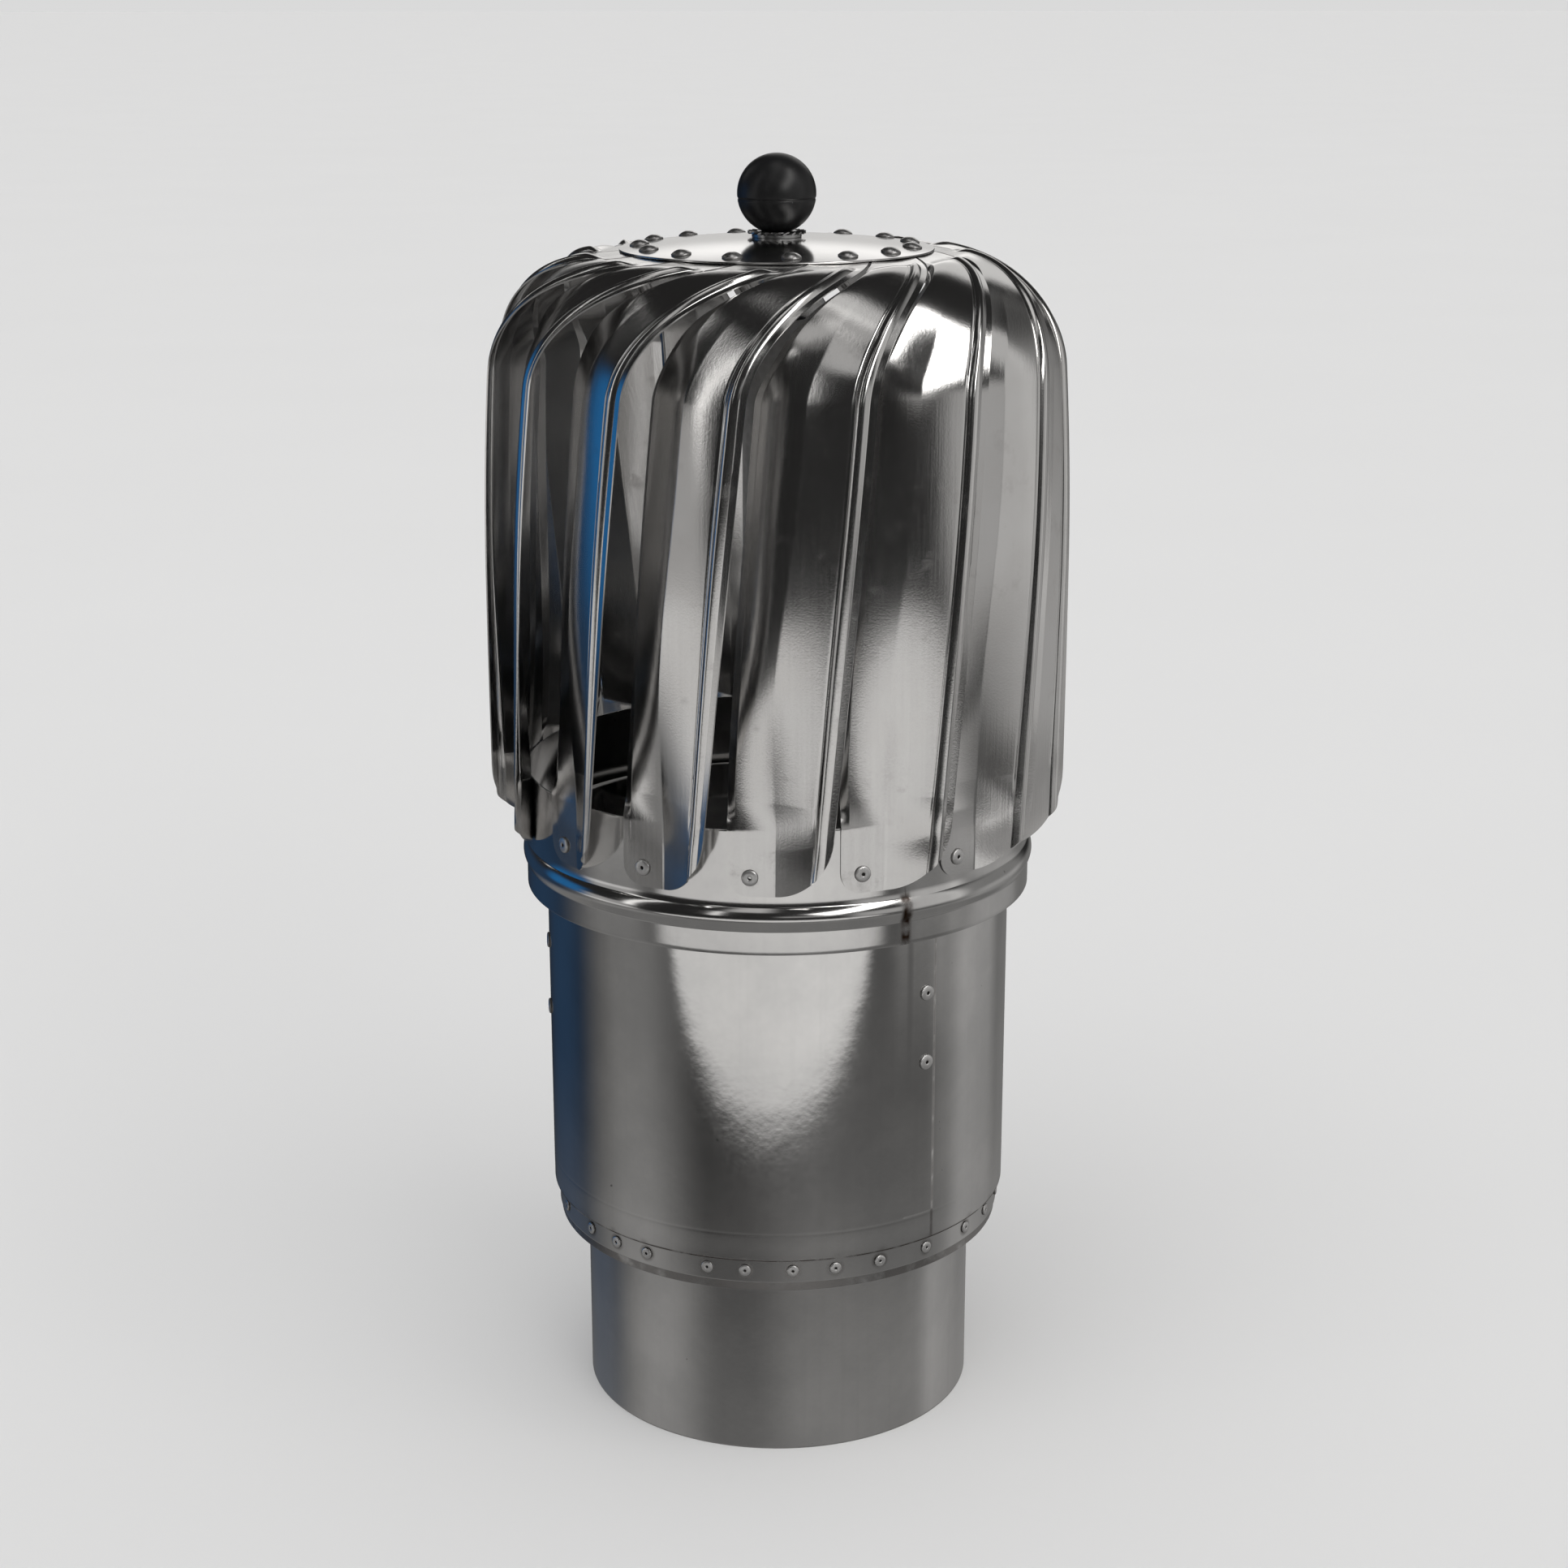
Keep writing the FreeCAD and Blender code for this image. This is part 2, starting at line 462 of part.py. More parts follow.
class OuterEdge:
    """Path of a vane's outer edge: an upright wall, a slight taper, a shoulder and a crown."""

    def __init__(self):
        taper = math.radians(TAPER_TURN)
        self.taper_at = TAPER_START - VANE_BOTTOM
        self.shoulder_at = self.taper_at + TAPER_RADIUS * taper
        start_r = VANE_RADIUS - TAPER_RADIUS * (1 - math.cos(taper))
        start_z = TAPER_START + TAPER_RADIUS * math.sin(taper)
        self.centre_r = start_r - SHOULDER_RADIUS * math.cos(taper)
        self.centre_z = start_z - SHOULDER_RADIUS * math.sin(taper)
        self.crown_tilt = math.acos(self.centre_r / (CROWN_RADIUS - SHOULDER_RADIUS))
        self.crown_at = self.shoulder_at + SHOULDER_RADIUS * (self.crown_tilt - taper)
        drop = CROWN_RADIUS - SHOULDER_RADIUS
        self.crown_z = self.centre_z - drop * math.sin(self.crown_tilt)
        end_tilt = math.acos(CROWN_END / CROWN_RADIUS)
        self.length = self.crown_at + CROWN_RADIUS * (end_tilt - self.crown_tilt)

    def place(self, along):
        """Radius, height and outward tilt in radians at a developed length from the foot."""
        if along <= self.taper_at:
            return VANE_RADIUS, VANE_BOTTOM + along, 0.0
        if along <= self.shoulder_at:
            tilt = (along - self.taper_at) / TAPER_RADIUS
            radius = VANE_RADIUS - TAPER_RADIUS * (1 - math.cos(tilt))
            return radius, TAPER_START + TAPER_RADIUS * math.sin(tilt), tilt
        if along <= self.crown_at:
            tilt = math.radians(TAPER_TURN) + (along - self.shoulder_at) / SHOULDER_RADIUS
            return (self.centre_r + SHOULDER_RADIUS * math.cos(tilt),
                    self.centre_z + SHOULDER_RADIUS * math.sin(tilt), tilt)
        tilt = self.crown_tilt + (along - self.crown_at) / CROWN_RADIUS
        return CROWN_RADIUS * math.cos(tilt), self.crown_z + CROWN_RADIUS * math.sin(tilt), tilt

    def sweep(self, along):
        """Degrees past the rivet at a developed length from the foot."""
        if along <= self.shoulder_at:
            return LEAN_START + LEAN_RATE * along
        past = along - self.shoulder_at
        ramp = (SWEEP_CAP - LEAN_RATE) / SWEEP_GROWTH
        ramped = min(past, ramp)
        wall = LEAN_START + LEAN_RATE * self.shoulder_at
        return wall + LEAN_RATE * ramped + SWEEP_GROWTH * ramped ** 2 / 2 + SWEEP_CAP * (past - ramped)


EDGE = OuterEdge()
CROWN_TOP = EDGE.crown_z + CROWN_RADIUS
HOUSING_TOP = CROWN_TOP - HOUSING_BELOW_CROWN
UPPER_BEARING = HOUSING_TOP - BEARING_INSET - BEARING_WIDTH


def inner_edge(along):
    """Place of the inner edge: radius, degrees past the rivet and height."""
    radius, height, tilt = EDGE.place(along)
    above = max(height - RING_TOP, 0.0)
    opening = 1 - math.exp(-above / INSET_REACH)
    foot_inset = VANE_RADIUS - math.hypot(TAB_LEVEL, TAB_LEFT)
    shoulder = smooth((along - EDGE.shoulder_at) / (EDGE.crown_at - EDGE.shoulder_at))
    inset = (foot_inset + (VANE_INSET - foot_inset) * opening) * (1 - shoulder)
    span = VANE_SPAN_FOOT + (VANE_SPAN_WALL - VANE_SPAN_FOOT) * opening
    span = span + (VANE_SPAN_TOP - span) * shoulder
    angle = FOOT_ANGLE + (EDGE.sweep(along) - span - FOOT_ANGLE) * smooth(above / FOOT_HEIGHT)
    return radius - inset * math.cos(tilt), angle, height - inset * math.sin(tilt)


def vane_point(along, across):
    """Point on the middle of the vane's sheet; across runs from 0 inside to 1 outside."""
    radius, height, tilt = EDGE.place(along)
    outer = polar(radius, EDGE.sweep(along), height)
    inner_radius, inner_angle, inner_height = inner_edge(along)
    inner = polar(inner_radius, inner_angle, inner_height)
    chord = outer - inner
    width = chord.Length
    rise = Vec(0, 0, math.cos(tilt)) - unit(inner_angle) * math.sin(tilt)
    normal = chord.cross(rise).normalize()
    fold_foot = unit(0) * TAB_LEVEL + unit(90) * TAB_RIGHT + Vec(0, 0, height)
    fold_share = (fold_foot - inner).dot(chord) / width ** 2
    fold_depth = (fold_foot - inner).dot(normal)
    folded = 1 - smooth((height - RING_TOP) / (FOLD_TOP - RING_TOP))
    fold_share = fold_share * folded + FOLD_END_SHARE * (1 - folded)
    tent = min(across / fold_share, (1 - across) / (1 - fold_share))
    lift = fold_depth * folded * tent
    flat = smooth((along - EDGE.crown_at) / FLATTEN_REACH)
    lift += PANEL_BULGE * (1 - folded) * 4 * across * (1 - across) * (1 - flat)
    from_edge = (1 - across) * width
    bump = max(1 - abs(from_edge - BEAD_FROM_EDGE) / VANE_BEAD_WIDTH, 0.0)
    lift += VANE_BEAD_HEIGHT * smooth(bump) * (1 - flat)
    above = smooth((height - RING_TOP) / LIP_START)
    lift -= LIP_DROP * max(1 - across * width / LIP_WIDTH, 0.0) * above * (1 - flat)
    return inner + chord * across + normal * lift


def spread(count, start, end):
    return [start + (end - start) * i / (count - 1) for i in range(count)]


def vane_grid(stations, shares):
    """Grid of points whose lowest rows follow the rounded outline of the vane's foot."""
    foot_inner = polar(math.hypot(TAB_LEVEL, TAB_LEFT), FOOT_ANGLE, 0)
    foot_width = (polar(VANE_RADIUS, LEAN_START, 0) - foot_inner).Length
    grid = []
    for along in stations:
        squeeze = max(1 - along / FOOT_HEIGHT, 0.0)
        rises = [squeeze * foot_rise(foot_width * across, foot_width * (1 - across)) for across in shares]
        grid.append([vane_point(along + rise, across) for rise, across in zip(rises, shares)])
    return grid


def shifted(grid, distance):
    """Grid moved along its own normals by a distance."""
    rows = len(grid)
    columns = len(grid[0])
    moved = []
    for i in range(rows):
        line = []
        for j in range(columns):
            along = grid[min(i + 1, rows - 1)][j] - grid[max(i - 1, 0)][j]
            across = grid[i][min(j + 1, columns - 1)] - grid[i][max(j - 1, 0)]
            line.append(grid[i][j] + across.cross(along).normalize() * distance)
        moved.append(line)
    return moved


def long_curves(grid, stations):
    """One smooth curve along each column of a grid, all with the same knots."""
    curves = []
    for j in range(len(grid[0])):
        curve = Part.BSplineCurve()
        curve.interpolate(Points=[line[j] for line in grid], Parameters=stations)
        curves.append(curve)
    return curves


def ruled_face(first, second):
    """Face of straight rulings between two curves that share their knots."""
    surface = Part.BSplineSurface()
    surface.buildFromPolesMultsKnots([first.getPoles(), second.getPoles()], [2, 2], first.getMultiplicities(),
                                     [0.0, 1.0], first.getKnots(), False, False, 1, first.Degree)
    return surface.toShape()


def end_faces(outer_line, inner_line):
    """Flat-ruled faces that close the sheet's end between its two sides."""
    faces = []
    for j in range(len(outer_line) - 1):
        surface = Part.BSplineSurface()
        surface.buildFromPolesMultsKnots([outer_line[j:j + 2], inner_line[j:j + 2]], [2, 2], [2, 2],
                                         [0.0, 1.0], [0.0, 1.0], False, False, 1, 1)
        faces.append(surface.toShape())
    return faces


def sheet_solid(grid, stations, thickness):
    """Closed solid of a formed sheet about its middle grid, ruled from fold to fold."""
    outside = shifted(grid, thickness / 2)
    inside = shifted(grid, -thickness / 2)
    outer = long_curves(outside, stations)
    inner = long_curves(inside, stations)
    pairs = list(zip(outer, outer[1:])) + list(zip(inner, inner[1:]))
    pairs += [(outer[0], inner[0]), (outer[-1], inner[-1])]
    faces = [ruled_face(first, second) for first, second in pairs]
    shell = Part.makeShell(faces + end_faces(outside[0], inside[0]) + end_faces(outside[-1], inside[-1]))
    shell.sewShape()
    solid = Part.makeSolid(shell)
    if solid.Volume < 0:
        solid.reverse()
    return solid


def foot_rise(from_inner, from_outer):
    """How far the vane's lower edge rises at its two rounded corners."""
    left = TAB_CORNER - min(from_inner, TAB_CORNER)
    right = TAIL_CORNER - min(from_outer, TAIL_CORNER)
    rise = TAB_CORNER - math.sqrt(TAB_CORNER ** 2 - left ** 2)
    return rise + TAIL_CORNER - math.sqrt(TAIL_CORNER ** 2 - right ** 2)


def vane():
    """First vane: formed strip with a rivet tab at its foot and a tab under the disc."""
    foot = spread(8, 0.0, FOOT_HEIGHT)
    wall = spread(8, FOOT_HEIGHT, EDGE.shoulder_at)[1:]
    shoulder = spread(10, EDGE.shoulder_at, EDGE.crown_at)[1:]
    crown = spread(5, EDGE.crown_at, EDGE.length)[1:]
    stations = foot + wall + shoulder + crown
    solid = turned(sheet_solid(vane_grid(stations, VANE_COLUMNS), stations, VANE_SHEET), VANE_RIVET_ANGLE)
    lower_hole = radial_hole(VANE_RIVET_SHANK + HOLE_GAP, RING_RADIUS, VANE_RIVET_ANGLE, VANE_RIVET_HEIGHT)
    return solid.cut([lower_hole, disc_rivet_hole(0)])


# ---- rotor --------------------------------------------------------------------------------
def crown_height(radius, level):
    """Height at a radius of a plate that lies a level above the crown of the vanes."""
    sphere = CROWN_RADIUS + level
    return EDGE.crown_z + math.sqrt(sphere ** 2 - radius ** 2)


def crowned_plate(inner, outer, low, high):
    """Plate between two spheres that follow the crown of the vanes."""
    def arc(level, first, last):
        middle = (first + last) / 2
        points = [Vec(radius, 0, crown_height(radius, level)) for radius in (first, middle, last)]
        return Part.Arc(*points).toShape()

    def rim(radius, start, end):
        return Part.LineSegment(Vec(radius, 0, crown_height(radius, start)),
                                Vec(radius, 0, crown_height(radius, end))).toShape()
    edges = [
        arc(low, inner, outer),
        rim(outer, low, high),
        arc(high, outer, inner),
        rim(inner, high, low),
    ]
    return revolved(edges)


DISC_LOW = VANE_SHEET / 2 + DISC_GAP
DISC_HIGH = DISC_LOW + SHEET
PLATE_HIGH = -VANE_SHEET / 2 - HUB_PLATE_GAP
PLATE_LOW = PLATE_HIGH - HUB_PLATE_SHEET


def disc_rivet_place(index):
    tilt = math.acos(DISC_RIVET_CIRCLE / CROWN_RADIUS)
    edge = EDGE.sweep(EDGE.crown_at + CROWN_RADIUS * (tilt - EDGE.crown_tilt))
    angle = VANE_RIVET_ANGLE + edge - DISC_RIVET_FROM_EDGE + PITCH * index
    centre = Vec(0, 0, EDGE.crown_z)
    seat = polar(DISC_RIVET_CIRCLE, angle, crown_height(DISC_RIVET_CIRCLE, DISC_HIGH))
    return FreeCAD.Placement(seat, FreeCAD.Rotation(Vec(0, 0, 1), seat - centre))


def disc_rivet_hole(index):
    place = disc_rivet_place(index)
    start = place.multVec(Vec(0, 0, -DRILL_REACH))
    drill = Part.makeCylinder(DISC_RIVET_SHANK + HOLE_GAP, 2 * DRILL_REACH)
    return placed(drill, FreeCAD.Placement(start, place.Rotation))


def disc_rivet_holes():
    return [disc_rivet_hole(i) for i in range(VANE_COUNT)]


def top_disc():
    return crowned_plate(STUD_RADIUS + HOLE_GAP, DISC_RADIUS, DISC_LOW, DISC_HIGH).cut(disc_rivet_holes())


def hub_plate():
    plate = crowned_plate(STUD_RADIUS + HOLE_GAP, HUB_PLATE_RADIUS, PLATE_LOW, PLATE_HIGH)
    return plate.cut(disc_rivet_holes())


def disc_rivets():
    grip = DISC_HIGH - PLATE_LOW + SEAT_GAP
    rivet = dome_rivet(DISC_RIVET_HEAD, DISC_RIVET_SHANK, grip)
    return Part.makeCompound([placed(rivet, disc_rivet_place(i)) for i in range(VANE_COUNT)])


def vane_rivet_angles():
    return [VANE_RIVET_ANGLE + PITCH * i for i in range(VANE_COUNT)]


def base_ring():
    """Rolled ring with an outward bead and a slightly wider skirt below it."""
    middle = (BEAD_TOP + BEAD_BOTTOM) / 2

    def wall(offset):
        """Edge chain from the ring's top to the skirt's bottom, offset inwards."""
        upper = RING_RADIUS - offset
        lower = SKIRT_RADIUS - offset
        return [
            Part.LineSegment(Vec(upper, 0, RING_TOP), Vec(upper, 0, BEAD_TOP)),
            Part.Arc(Vec(upper, 0, BEAD_TOP), Vec(upper + BEAD_HEIGHT, 0, middle),
                     Vec(lower, 0, BEAD_BOTTOM)),
            Part.LineSegment(Vec(lower, 0, BEAD_BOTTOM), Vec(lower, 0, SKIRT_BOTTOM)),
        ]
    ends = [
        Part.LineSegment(Vec(SKIRT_RADIUS, 0, SKIRT_BOTTOM), Vec(SKIRT_RADIUS - SHEET, 0, SKIRT_BOTTOM)),
        Part.LineSegment(Vec(RING_RADIUS - SHEET, 0, RING_TOP), Vec(RING_RADIUS, 0, RING_TOP)),
    ]
    edges = [part.toShape() for part in wall(0.0) + wall(SHEET) + ends]
    outline = Part.Wire(Part.__sortEdges__(edges))
    body = Part.Face(outline).revolve(Vec(0, 0, 0), Vec(0, 0, 1), 360)
    hole = VANE_RIVET_SHANK + HOLE_GAP
    holes = [radial_hole(hole, RING_RADIUS, angle, VANE_RIVET_HEIGHT) for angle in vane_rivet_angles()]
    return body.cut(holes)


def vane_rivets():
    seat = TAB_LEVEL + VANE_SHEET / 2
    rivet = blind_rivet(VANE_RIVET_HEAD, VANE_RIVET_SHANK, seat - RING_RADIUS + SHEET + 2 * LAP_GAP)
    return Part.makeCompound([placed(rivet, radial_placement(seat, angle, VANE_RIVET_HEIGHT))
                              for angle in vane_rivet_angles()])


def band_rivets():
    grip = BAND_RADIUS - RIM_RADIUS + SHEET + 2 * LAP_GAP
    rivet = blind_rivet(BAND_RIVET_HEAD, BAND_RIVET_SHANK, grip)
    return Part.makeCompound([placed(rivet, radial_placement(BAND_RADIUS, angle, BAND_RIVET_HEIGHT))
                              for angle in BAND_RIVET_ANGLES])


def arm_rivets():
    """Two rivets through the shell into each arm; the first pair also holds the lap seam."""
    rivets = []
    for i in range(ARM_COUNT):
        seat = SHELL_RADIUS + (LAP_RISE if i == 0 else 0.0)
        rivet = blind_rivet(VANE_RIVET_HEAD, VANE_RIVET_SHANK, seat - ARM_OUTER + ARM_THICKNESS + 2 * LAP_GAP)
        angle = ARM_RIVET_ANGLE + 360.0 / ARM_COUNT * i
        rivets += [placed(rivet, radial_placement(seat, angle, z)) for z in ARM_RIVET_HEIGHTS]
    return Part.makeCompound(rivets)


HUB_SHOULDER = crown_height(0, PLATE_LOW) - COLLAR_GAP
SPACER_BOTTOM = crown_height(0, PLATE_HIGH) + SEAT_GAP
SPACER_TOP = crown_height(SPACER_RADIUS, DISC_LOW) - DISC_GAP
WASHER_BOTTOM = crown_height(0, DISC_HIGH) + SEAT_GAP
TOOTH_TWIST = math.radians(LOCK_TWIST)
TOOTH_DIP = (TOOTH_WIDTH * math.sin(TOOTH_TWIST) + TOOTH_THICKNESS * math.cos(TOOTH_TWIST)) / 2
LOCK_BOTTOM = WASHER_BOTTOM + WASHER_THICKNESS + SEAT_GAP + max(TOOTH_DIP - LOCK_THICKNESS / 2, 0.0)
KNOB_BOTTOM = LOCK_BOTTOM + LOCK_THICKNESS + SEAT_GAP
KNOB_CENTRE = KNOB_BOTTOM + math.sqrt(KNOB_RADIUS ** 2 - KNOB_BASE_RADIUS ** 2)


def shaft():
    """Turned shaft: journal through both bearings, a collar that carries the rotor, a top stud."""
    journal = SHAFT_RADIUS - SHAFT_FIT
    foot = LOWER_BEARING - SHAFT_TAIL
    groove = SHAFT_RADIUS - SHAFT_GROOVE
    low_clip = LOWER_BEARING - CIRCLIP_THICKNESS - CIRCLIP_GAP
    neck = SHAFT_RADIUS + SHAFT_NECK
    neck_bottom = UPPER_BEARING + BEARING_WIDTH
    collar = SHAFT_RADIUS + SHAFT_COLLAR
    collar_bottom = HOUSING_TOP + NECK_CLEARANCE
    stud_top = KNOB_BOTTOM + STUD_ENGAGE
    return lathe([
        (0, foot), (groove, foot), (journal, foot + SHAFT_GROOVE),
        (journal, low_clip), (groove, low_clip), (groove, LOWER_BEARING), (journal, LOWER_BEARING),
        (journal, neck_bottom), (neck, neck_bottom), (neck, collar_bottom),
        (collar, collar_bottom + COLLAR_TAPER), (collar, HUB_SHOULDER), (STUD_RADIUS, HUB_SHOULDER),
        (STUD_RADIUS, stud_top - STUD_CHAMFER), (STUD_RADIUS - STUD_CHAMFER, stud_top), (0, stud_top),
    ])


def lock_washer():
    """Toothed lock washer: a flat ring with twisted outward teeth."""
    body = ring(STUD_RADIUS + HOLE_GAP, LOCK_BODY_RADIUS, LOCK_BOTTOM, LOCK_BOTTOM + LOCK_THICKNESS)
    middle = LOCK_BOTTOM + LOCK_THICKNESS / 2
    root = LOCK_BODY_RADIUS - TOOTH_ROOT
    corner = Vec(root, -TOOTH_WIDTH / 2, -TOOTH_THICKNESS / 2)
    tooth = Part.makeBox(LOCK_RADIUS - root, TOOTH_WIDTH, TOOTH_THICKNESS, corner)
    tooth.rotate(Vec(0, 0, 0), Vec(1, 0, 0), LOCK_TWIST)
    tooth.translate(Vec(0, 0, middle))
    teeth = [turned(tooth, 360.0 / LOCK_TEETH * i) for i in range(LOCK_TEETH)]
    return body.fuse(teeth)


def ball_knob():
    """Black ball knob with a flat seat and a blind threaded hole."""
    ball = Part.makeSphere(KNOB_RADIUS, Vec(0, 0, KNOB_CENTRE))
    below = Part.makeBox(60, 60, 30, Vec(-30, -30, KNOB_BOTTOM - 30))
    hole = Part.makeCylinder(STUD_RADIUS + HOLE_GAP, STUD_ENGAGE + 1, Vec(0, 0, KNOB_BOTTOM))
    return ball.cut(below).cut(hole)


def main():
    os.makedirs("parts", exist_ok=True)
    save("spigot_tube", spigot_tube())
    save("rivet_band", rivet_band())
    save("band_rivets", band_rivets())
    save("outer_shell", outer_shell())
    save("arm_rivets", arm_rivets())
    for i in range(ARM_COUNT):
        save("bracket_arm_%d" % (i + 1), bracket_arm(i))
    save("bearing_housing", bearing_housing())
    save("housing_cap", housing_cap())
    for name, bottom, clip in [("lower", LOWER_BEARING, LOWER_BEARING - CIRCLIP_THICKNESS - CIRCLIP_GAP / 2),
                               ("upper", UPPER_BEARING, UPPER_BEARING + BEARING_WIDTH + CIRCLIP_GAP / 2)]:
        save(name + "_outer_race", outer_race(bottom))
        save(name + "_inner_race", inner_race(bottom))
        save(name + "_balls", bearing_balls(bottom))
        save(name + "_cage", ball_cage(bottom))
        save(name + "_circlip", circlip(clip))
    save("rotor_shaft", shaft())
    save("shaft_circlip", shaft_circlip())
    save("hub_plate", hub_plate())
    save("hub_spacer", ring(STUD_RADIUS + HOLE_GAP, SPACER_RADIUS, SPACER_BOTTOM, SPACER_TOP))
    save("top_disc", top_disc())
    save("disc_rivets", disc_rivets())
    save("base_ring", base_ring())
    save("vane_rivets", vane_rivets())
    washer_top = WASHER_BOTTOM + WASHER_THICKNESS
    save("plain_washer", ring(STUD_RADIUS + HOLE_GAP, WASHER_RADIUS, WASHER_BOTTOM, washer_top))
    save("lock_washer", lock_washer())
    save("ball_knob", ball_knob())
    first = vane()
    for i in range(VANE_COUNT):
        save("vane_%02d" % (i + 1), turned(first, PITCH * i))


main()
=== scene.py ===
"""Looks of the rotating ventilator cowl: formed vanes, rolled sheets, rivets, disc and knob.

Lengths of the object are in metres; MM turns the maker's millimetres into them. Angles are degrees
from the front (-Y) towards +X. Every piece rides on its CAD body.
"""
import math

import bpy
import numpy as np
from mathutils import Matrix, Vector


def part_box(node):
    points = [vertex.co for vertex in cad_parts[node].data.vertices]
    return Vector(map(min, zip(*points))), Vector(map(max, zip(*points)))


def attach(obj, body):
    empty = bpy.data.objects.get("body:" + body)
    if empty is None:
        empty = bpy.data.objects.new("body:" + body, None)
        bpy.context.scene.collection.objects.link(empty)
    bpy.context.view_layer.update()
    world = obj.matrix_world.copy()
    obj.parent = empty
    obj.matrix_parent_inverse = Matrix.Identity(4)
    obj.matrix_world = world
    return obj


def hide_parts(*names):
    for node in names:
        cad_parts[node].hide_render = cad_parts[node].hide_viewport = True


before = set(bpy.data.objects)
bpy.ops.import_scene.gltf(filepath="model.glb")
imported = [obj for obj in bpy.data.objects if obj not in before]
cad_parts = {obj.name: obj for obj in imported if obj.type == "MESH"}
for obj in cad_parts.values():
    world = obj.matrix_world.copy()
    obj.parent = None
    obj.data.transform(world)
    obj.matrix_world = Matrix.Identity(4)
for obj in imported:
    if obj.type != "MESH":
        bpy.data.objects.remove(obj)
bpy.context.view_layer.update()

MM = 0.001
SEED = 20

# ---- the maker's sizes, in millimetres ----------------------------------------------------
SHEET = 0.8
VANE_SHEET = 0.7
LAP_GAP = 0.05
SPIGOT_RADIUS = 100.0
SPIGOT_HEIGHT = 90.0
FLARE_RADIUS = 5.0
COLLAR_TOP = 124.0
BAND_RADIUS = 114.9
BAND_BOTTOM = 99.5
BAND_TOP = 125.0
SHELL_RADIUS = 117.5
SHELL_BOTTOM = 112.0
SHELL_TOP = 299.95
SHELL_NECK_TOP = 128.0
EDGE_DRAW = 0.06
CREASE_LEVEL = 126.0
CREASE_DEPTH = 0.012
LAP_ANGLE = 41.0
LAP_WIDTH = 12.0
LAP_RISE = 0.4
# Strength of the painted shade along the shell's lap seam.
LAP_PAINTED_SHADE = 0.8
BAND_RIVET_ANGLES = [-180, -166, -153, -141, -127, -114.5, -101, -86, -70, -54.6, -44, -33.9, -17,
                     -7.5, 4.2, 14.8, 26.5, 40.5, 56, 68, 81, 94, 106.5, 119, 131, 144, 155.5, 168]
BAND_RIVET_HEIGHT = 106.0
BAND_RIVET_HEAD = 3.1
ARM_COUNT = 3
ARM_RIVET_ANGLE = 38.3
ARM_RIVET_HEIGHTS = [207.2, 243.1]
RING_RADIUS = 126.6
RING_TOP = 335.2
BEAD_TOP = 297.9
BEAD_BOTTOM = 286.5
BEAD_HEIGHT = 2.6
SKIRT_RADIUS = 127.4
SKIRT_BOTTOM = 274.3
DRIP_ANGLE = 29.0
VANE_COUNT = 15
VANE_RIVET_ANGLE = -5.2
VANE_RIVET_HEIGHT = 312.5
VANE_RIVET_HEAD = 4.0
VANE_BOTTOM = 303.2
VANE_RADIUS = 143.8
TAB_LEFT = 10.7
TAB_RIGHT = 11.5
TAB_CORNER = 10.0
TAIL_CORNER = 31.0
FOOT_HEIGHT = 46.0
TAPER_START = 433.0
TAPER_RADIUS = 1787.0
TAPER_TURN = math.radians(3.2)
SHOULDER_RADIUS = 57.0
CROWN_RADIUS = 556.6
CROWN_END = 60.0
LEAN_START = 14.9
LEAN_RATE = 0.0404
SWEEP_GROWTH = 0.009
SWEEP_CAP = 0.60
VANE_SPAN_FOOT = 21.2
VANE_SPAN_WALL = 23.4
VANE_SPAN_TOP = 22.6
VANE_INSET = 23.3
INSET_REACH = 55.0
PANEL_BULGE = 2.0
FOLD_TOP = 500.0
BEAD_FROM_EDGE = 6.4
VANE_BEAD_WIDTH = 3.0
VANE_BEAD_HEIGHT = 1.7
CREASE_FROM_EDGE = 10.6
PANEL_CAMBER = 3.0
SHOULDER_LAP = 2.2
LIP_WIDTH = 4.0
LIP_DROP = 1.6
DISC_RADIUS = 75.9
DISC_GAP = 0.15
DISC_RIVET_CIRCLE = 66.0
DISC_RIVET_PAST = 59.7
DISC_RIVET_HEAD = 4.75
KNOB_RADIUS = 19.0
PARTING_DEPTH = 0.35
PARTING_BELOW = 0.12
HEAD_GAP = 0.02
PITCH = 360.0 / VANE_COUNT
TAB_LEVEL = RING_RADIUS + LAP_GAP + VANE_SHEET / 2
FOOT_ANGLE = math.degrees(math.atan2(-TAB_LEFT, TAB_LEVEL))


# ---- camera -------------------------------------------------------------------------------
CAMERA_PLACE = (0.01494, -1.35058, 0.71491)
CAMERA_DOWN = 16.259
CAMERA_ROLL = 0.04
CAMERA_LEFT = 0.482
CAMERA_LENS = 63.59
CAMERA_SENSOR = 36.0


def make_camera():
    """Camera in front of the object, a little above it, looking slightly down."""
    data = bpy.data.cameras.new("camera")
    data.lens = CAMERA_LENS
    data.sensor_width = CAMERA_SENSOR
    camera = bpy.data.objects.new("camera", data)
    camera.location = CAMERA_PLACE
    camera.rotation_euler = [math.radians(turn) for turn in (90.0 - CAMERA_DOWN, CAMERA_ROLL, CAMERA_LEFT)]
    bpy.context.collection.objects.link(camera)
    bpy.context.scene.camera = camera


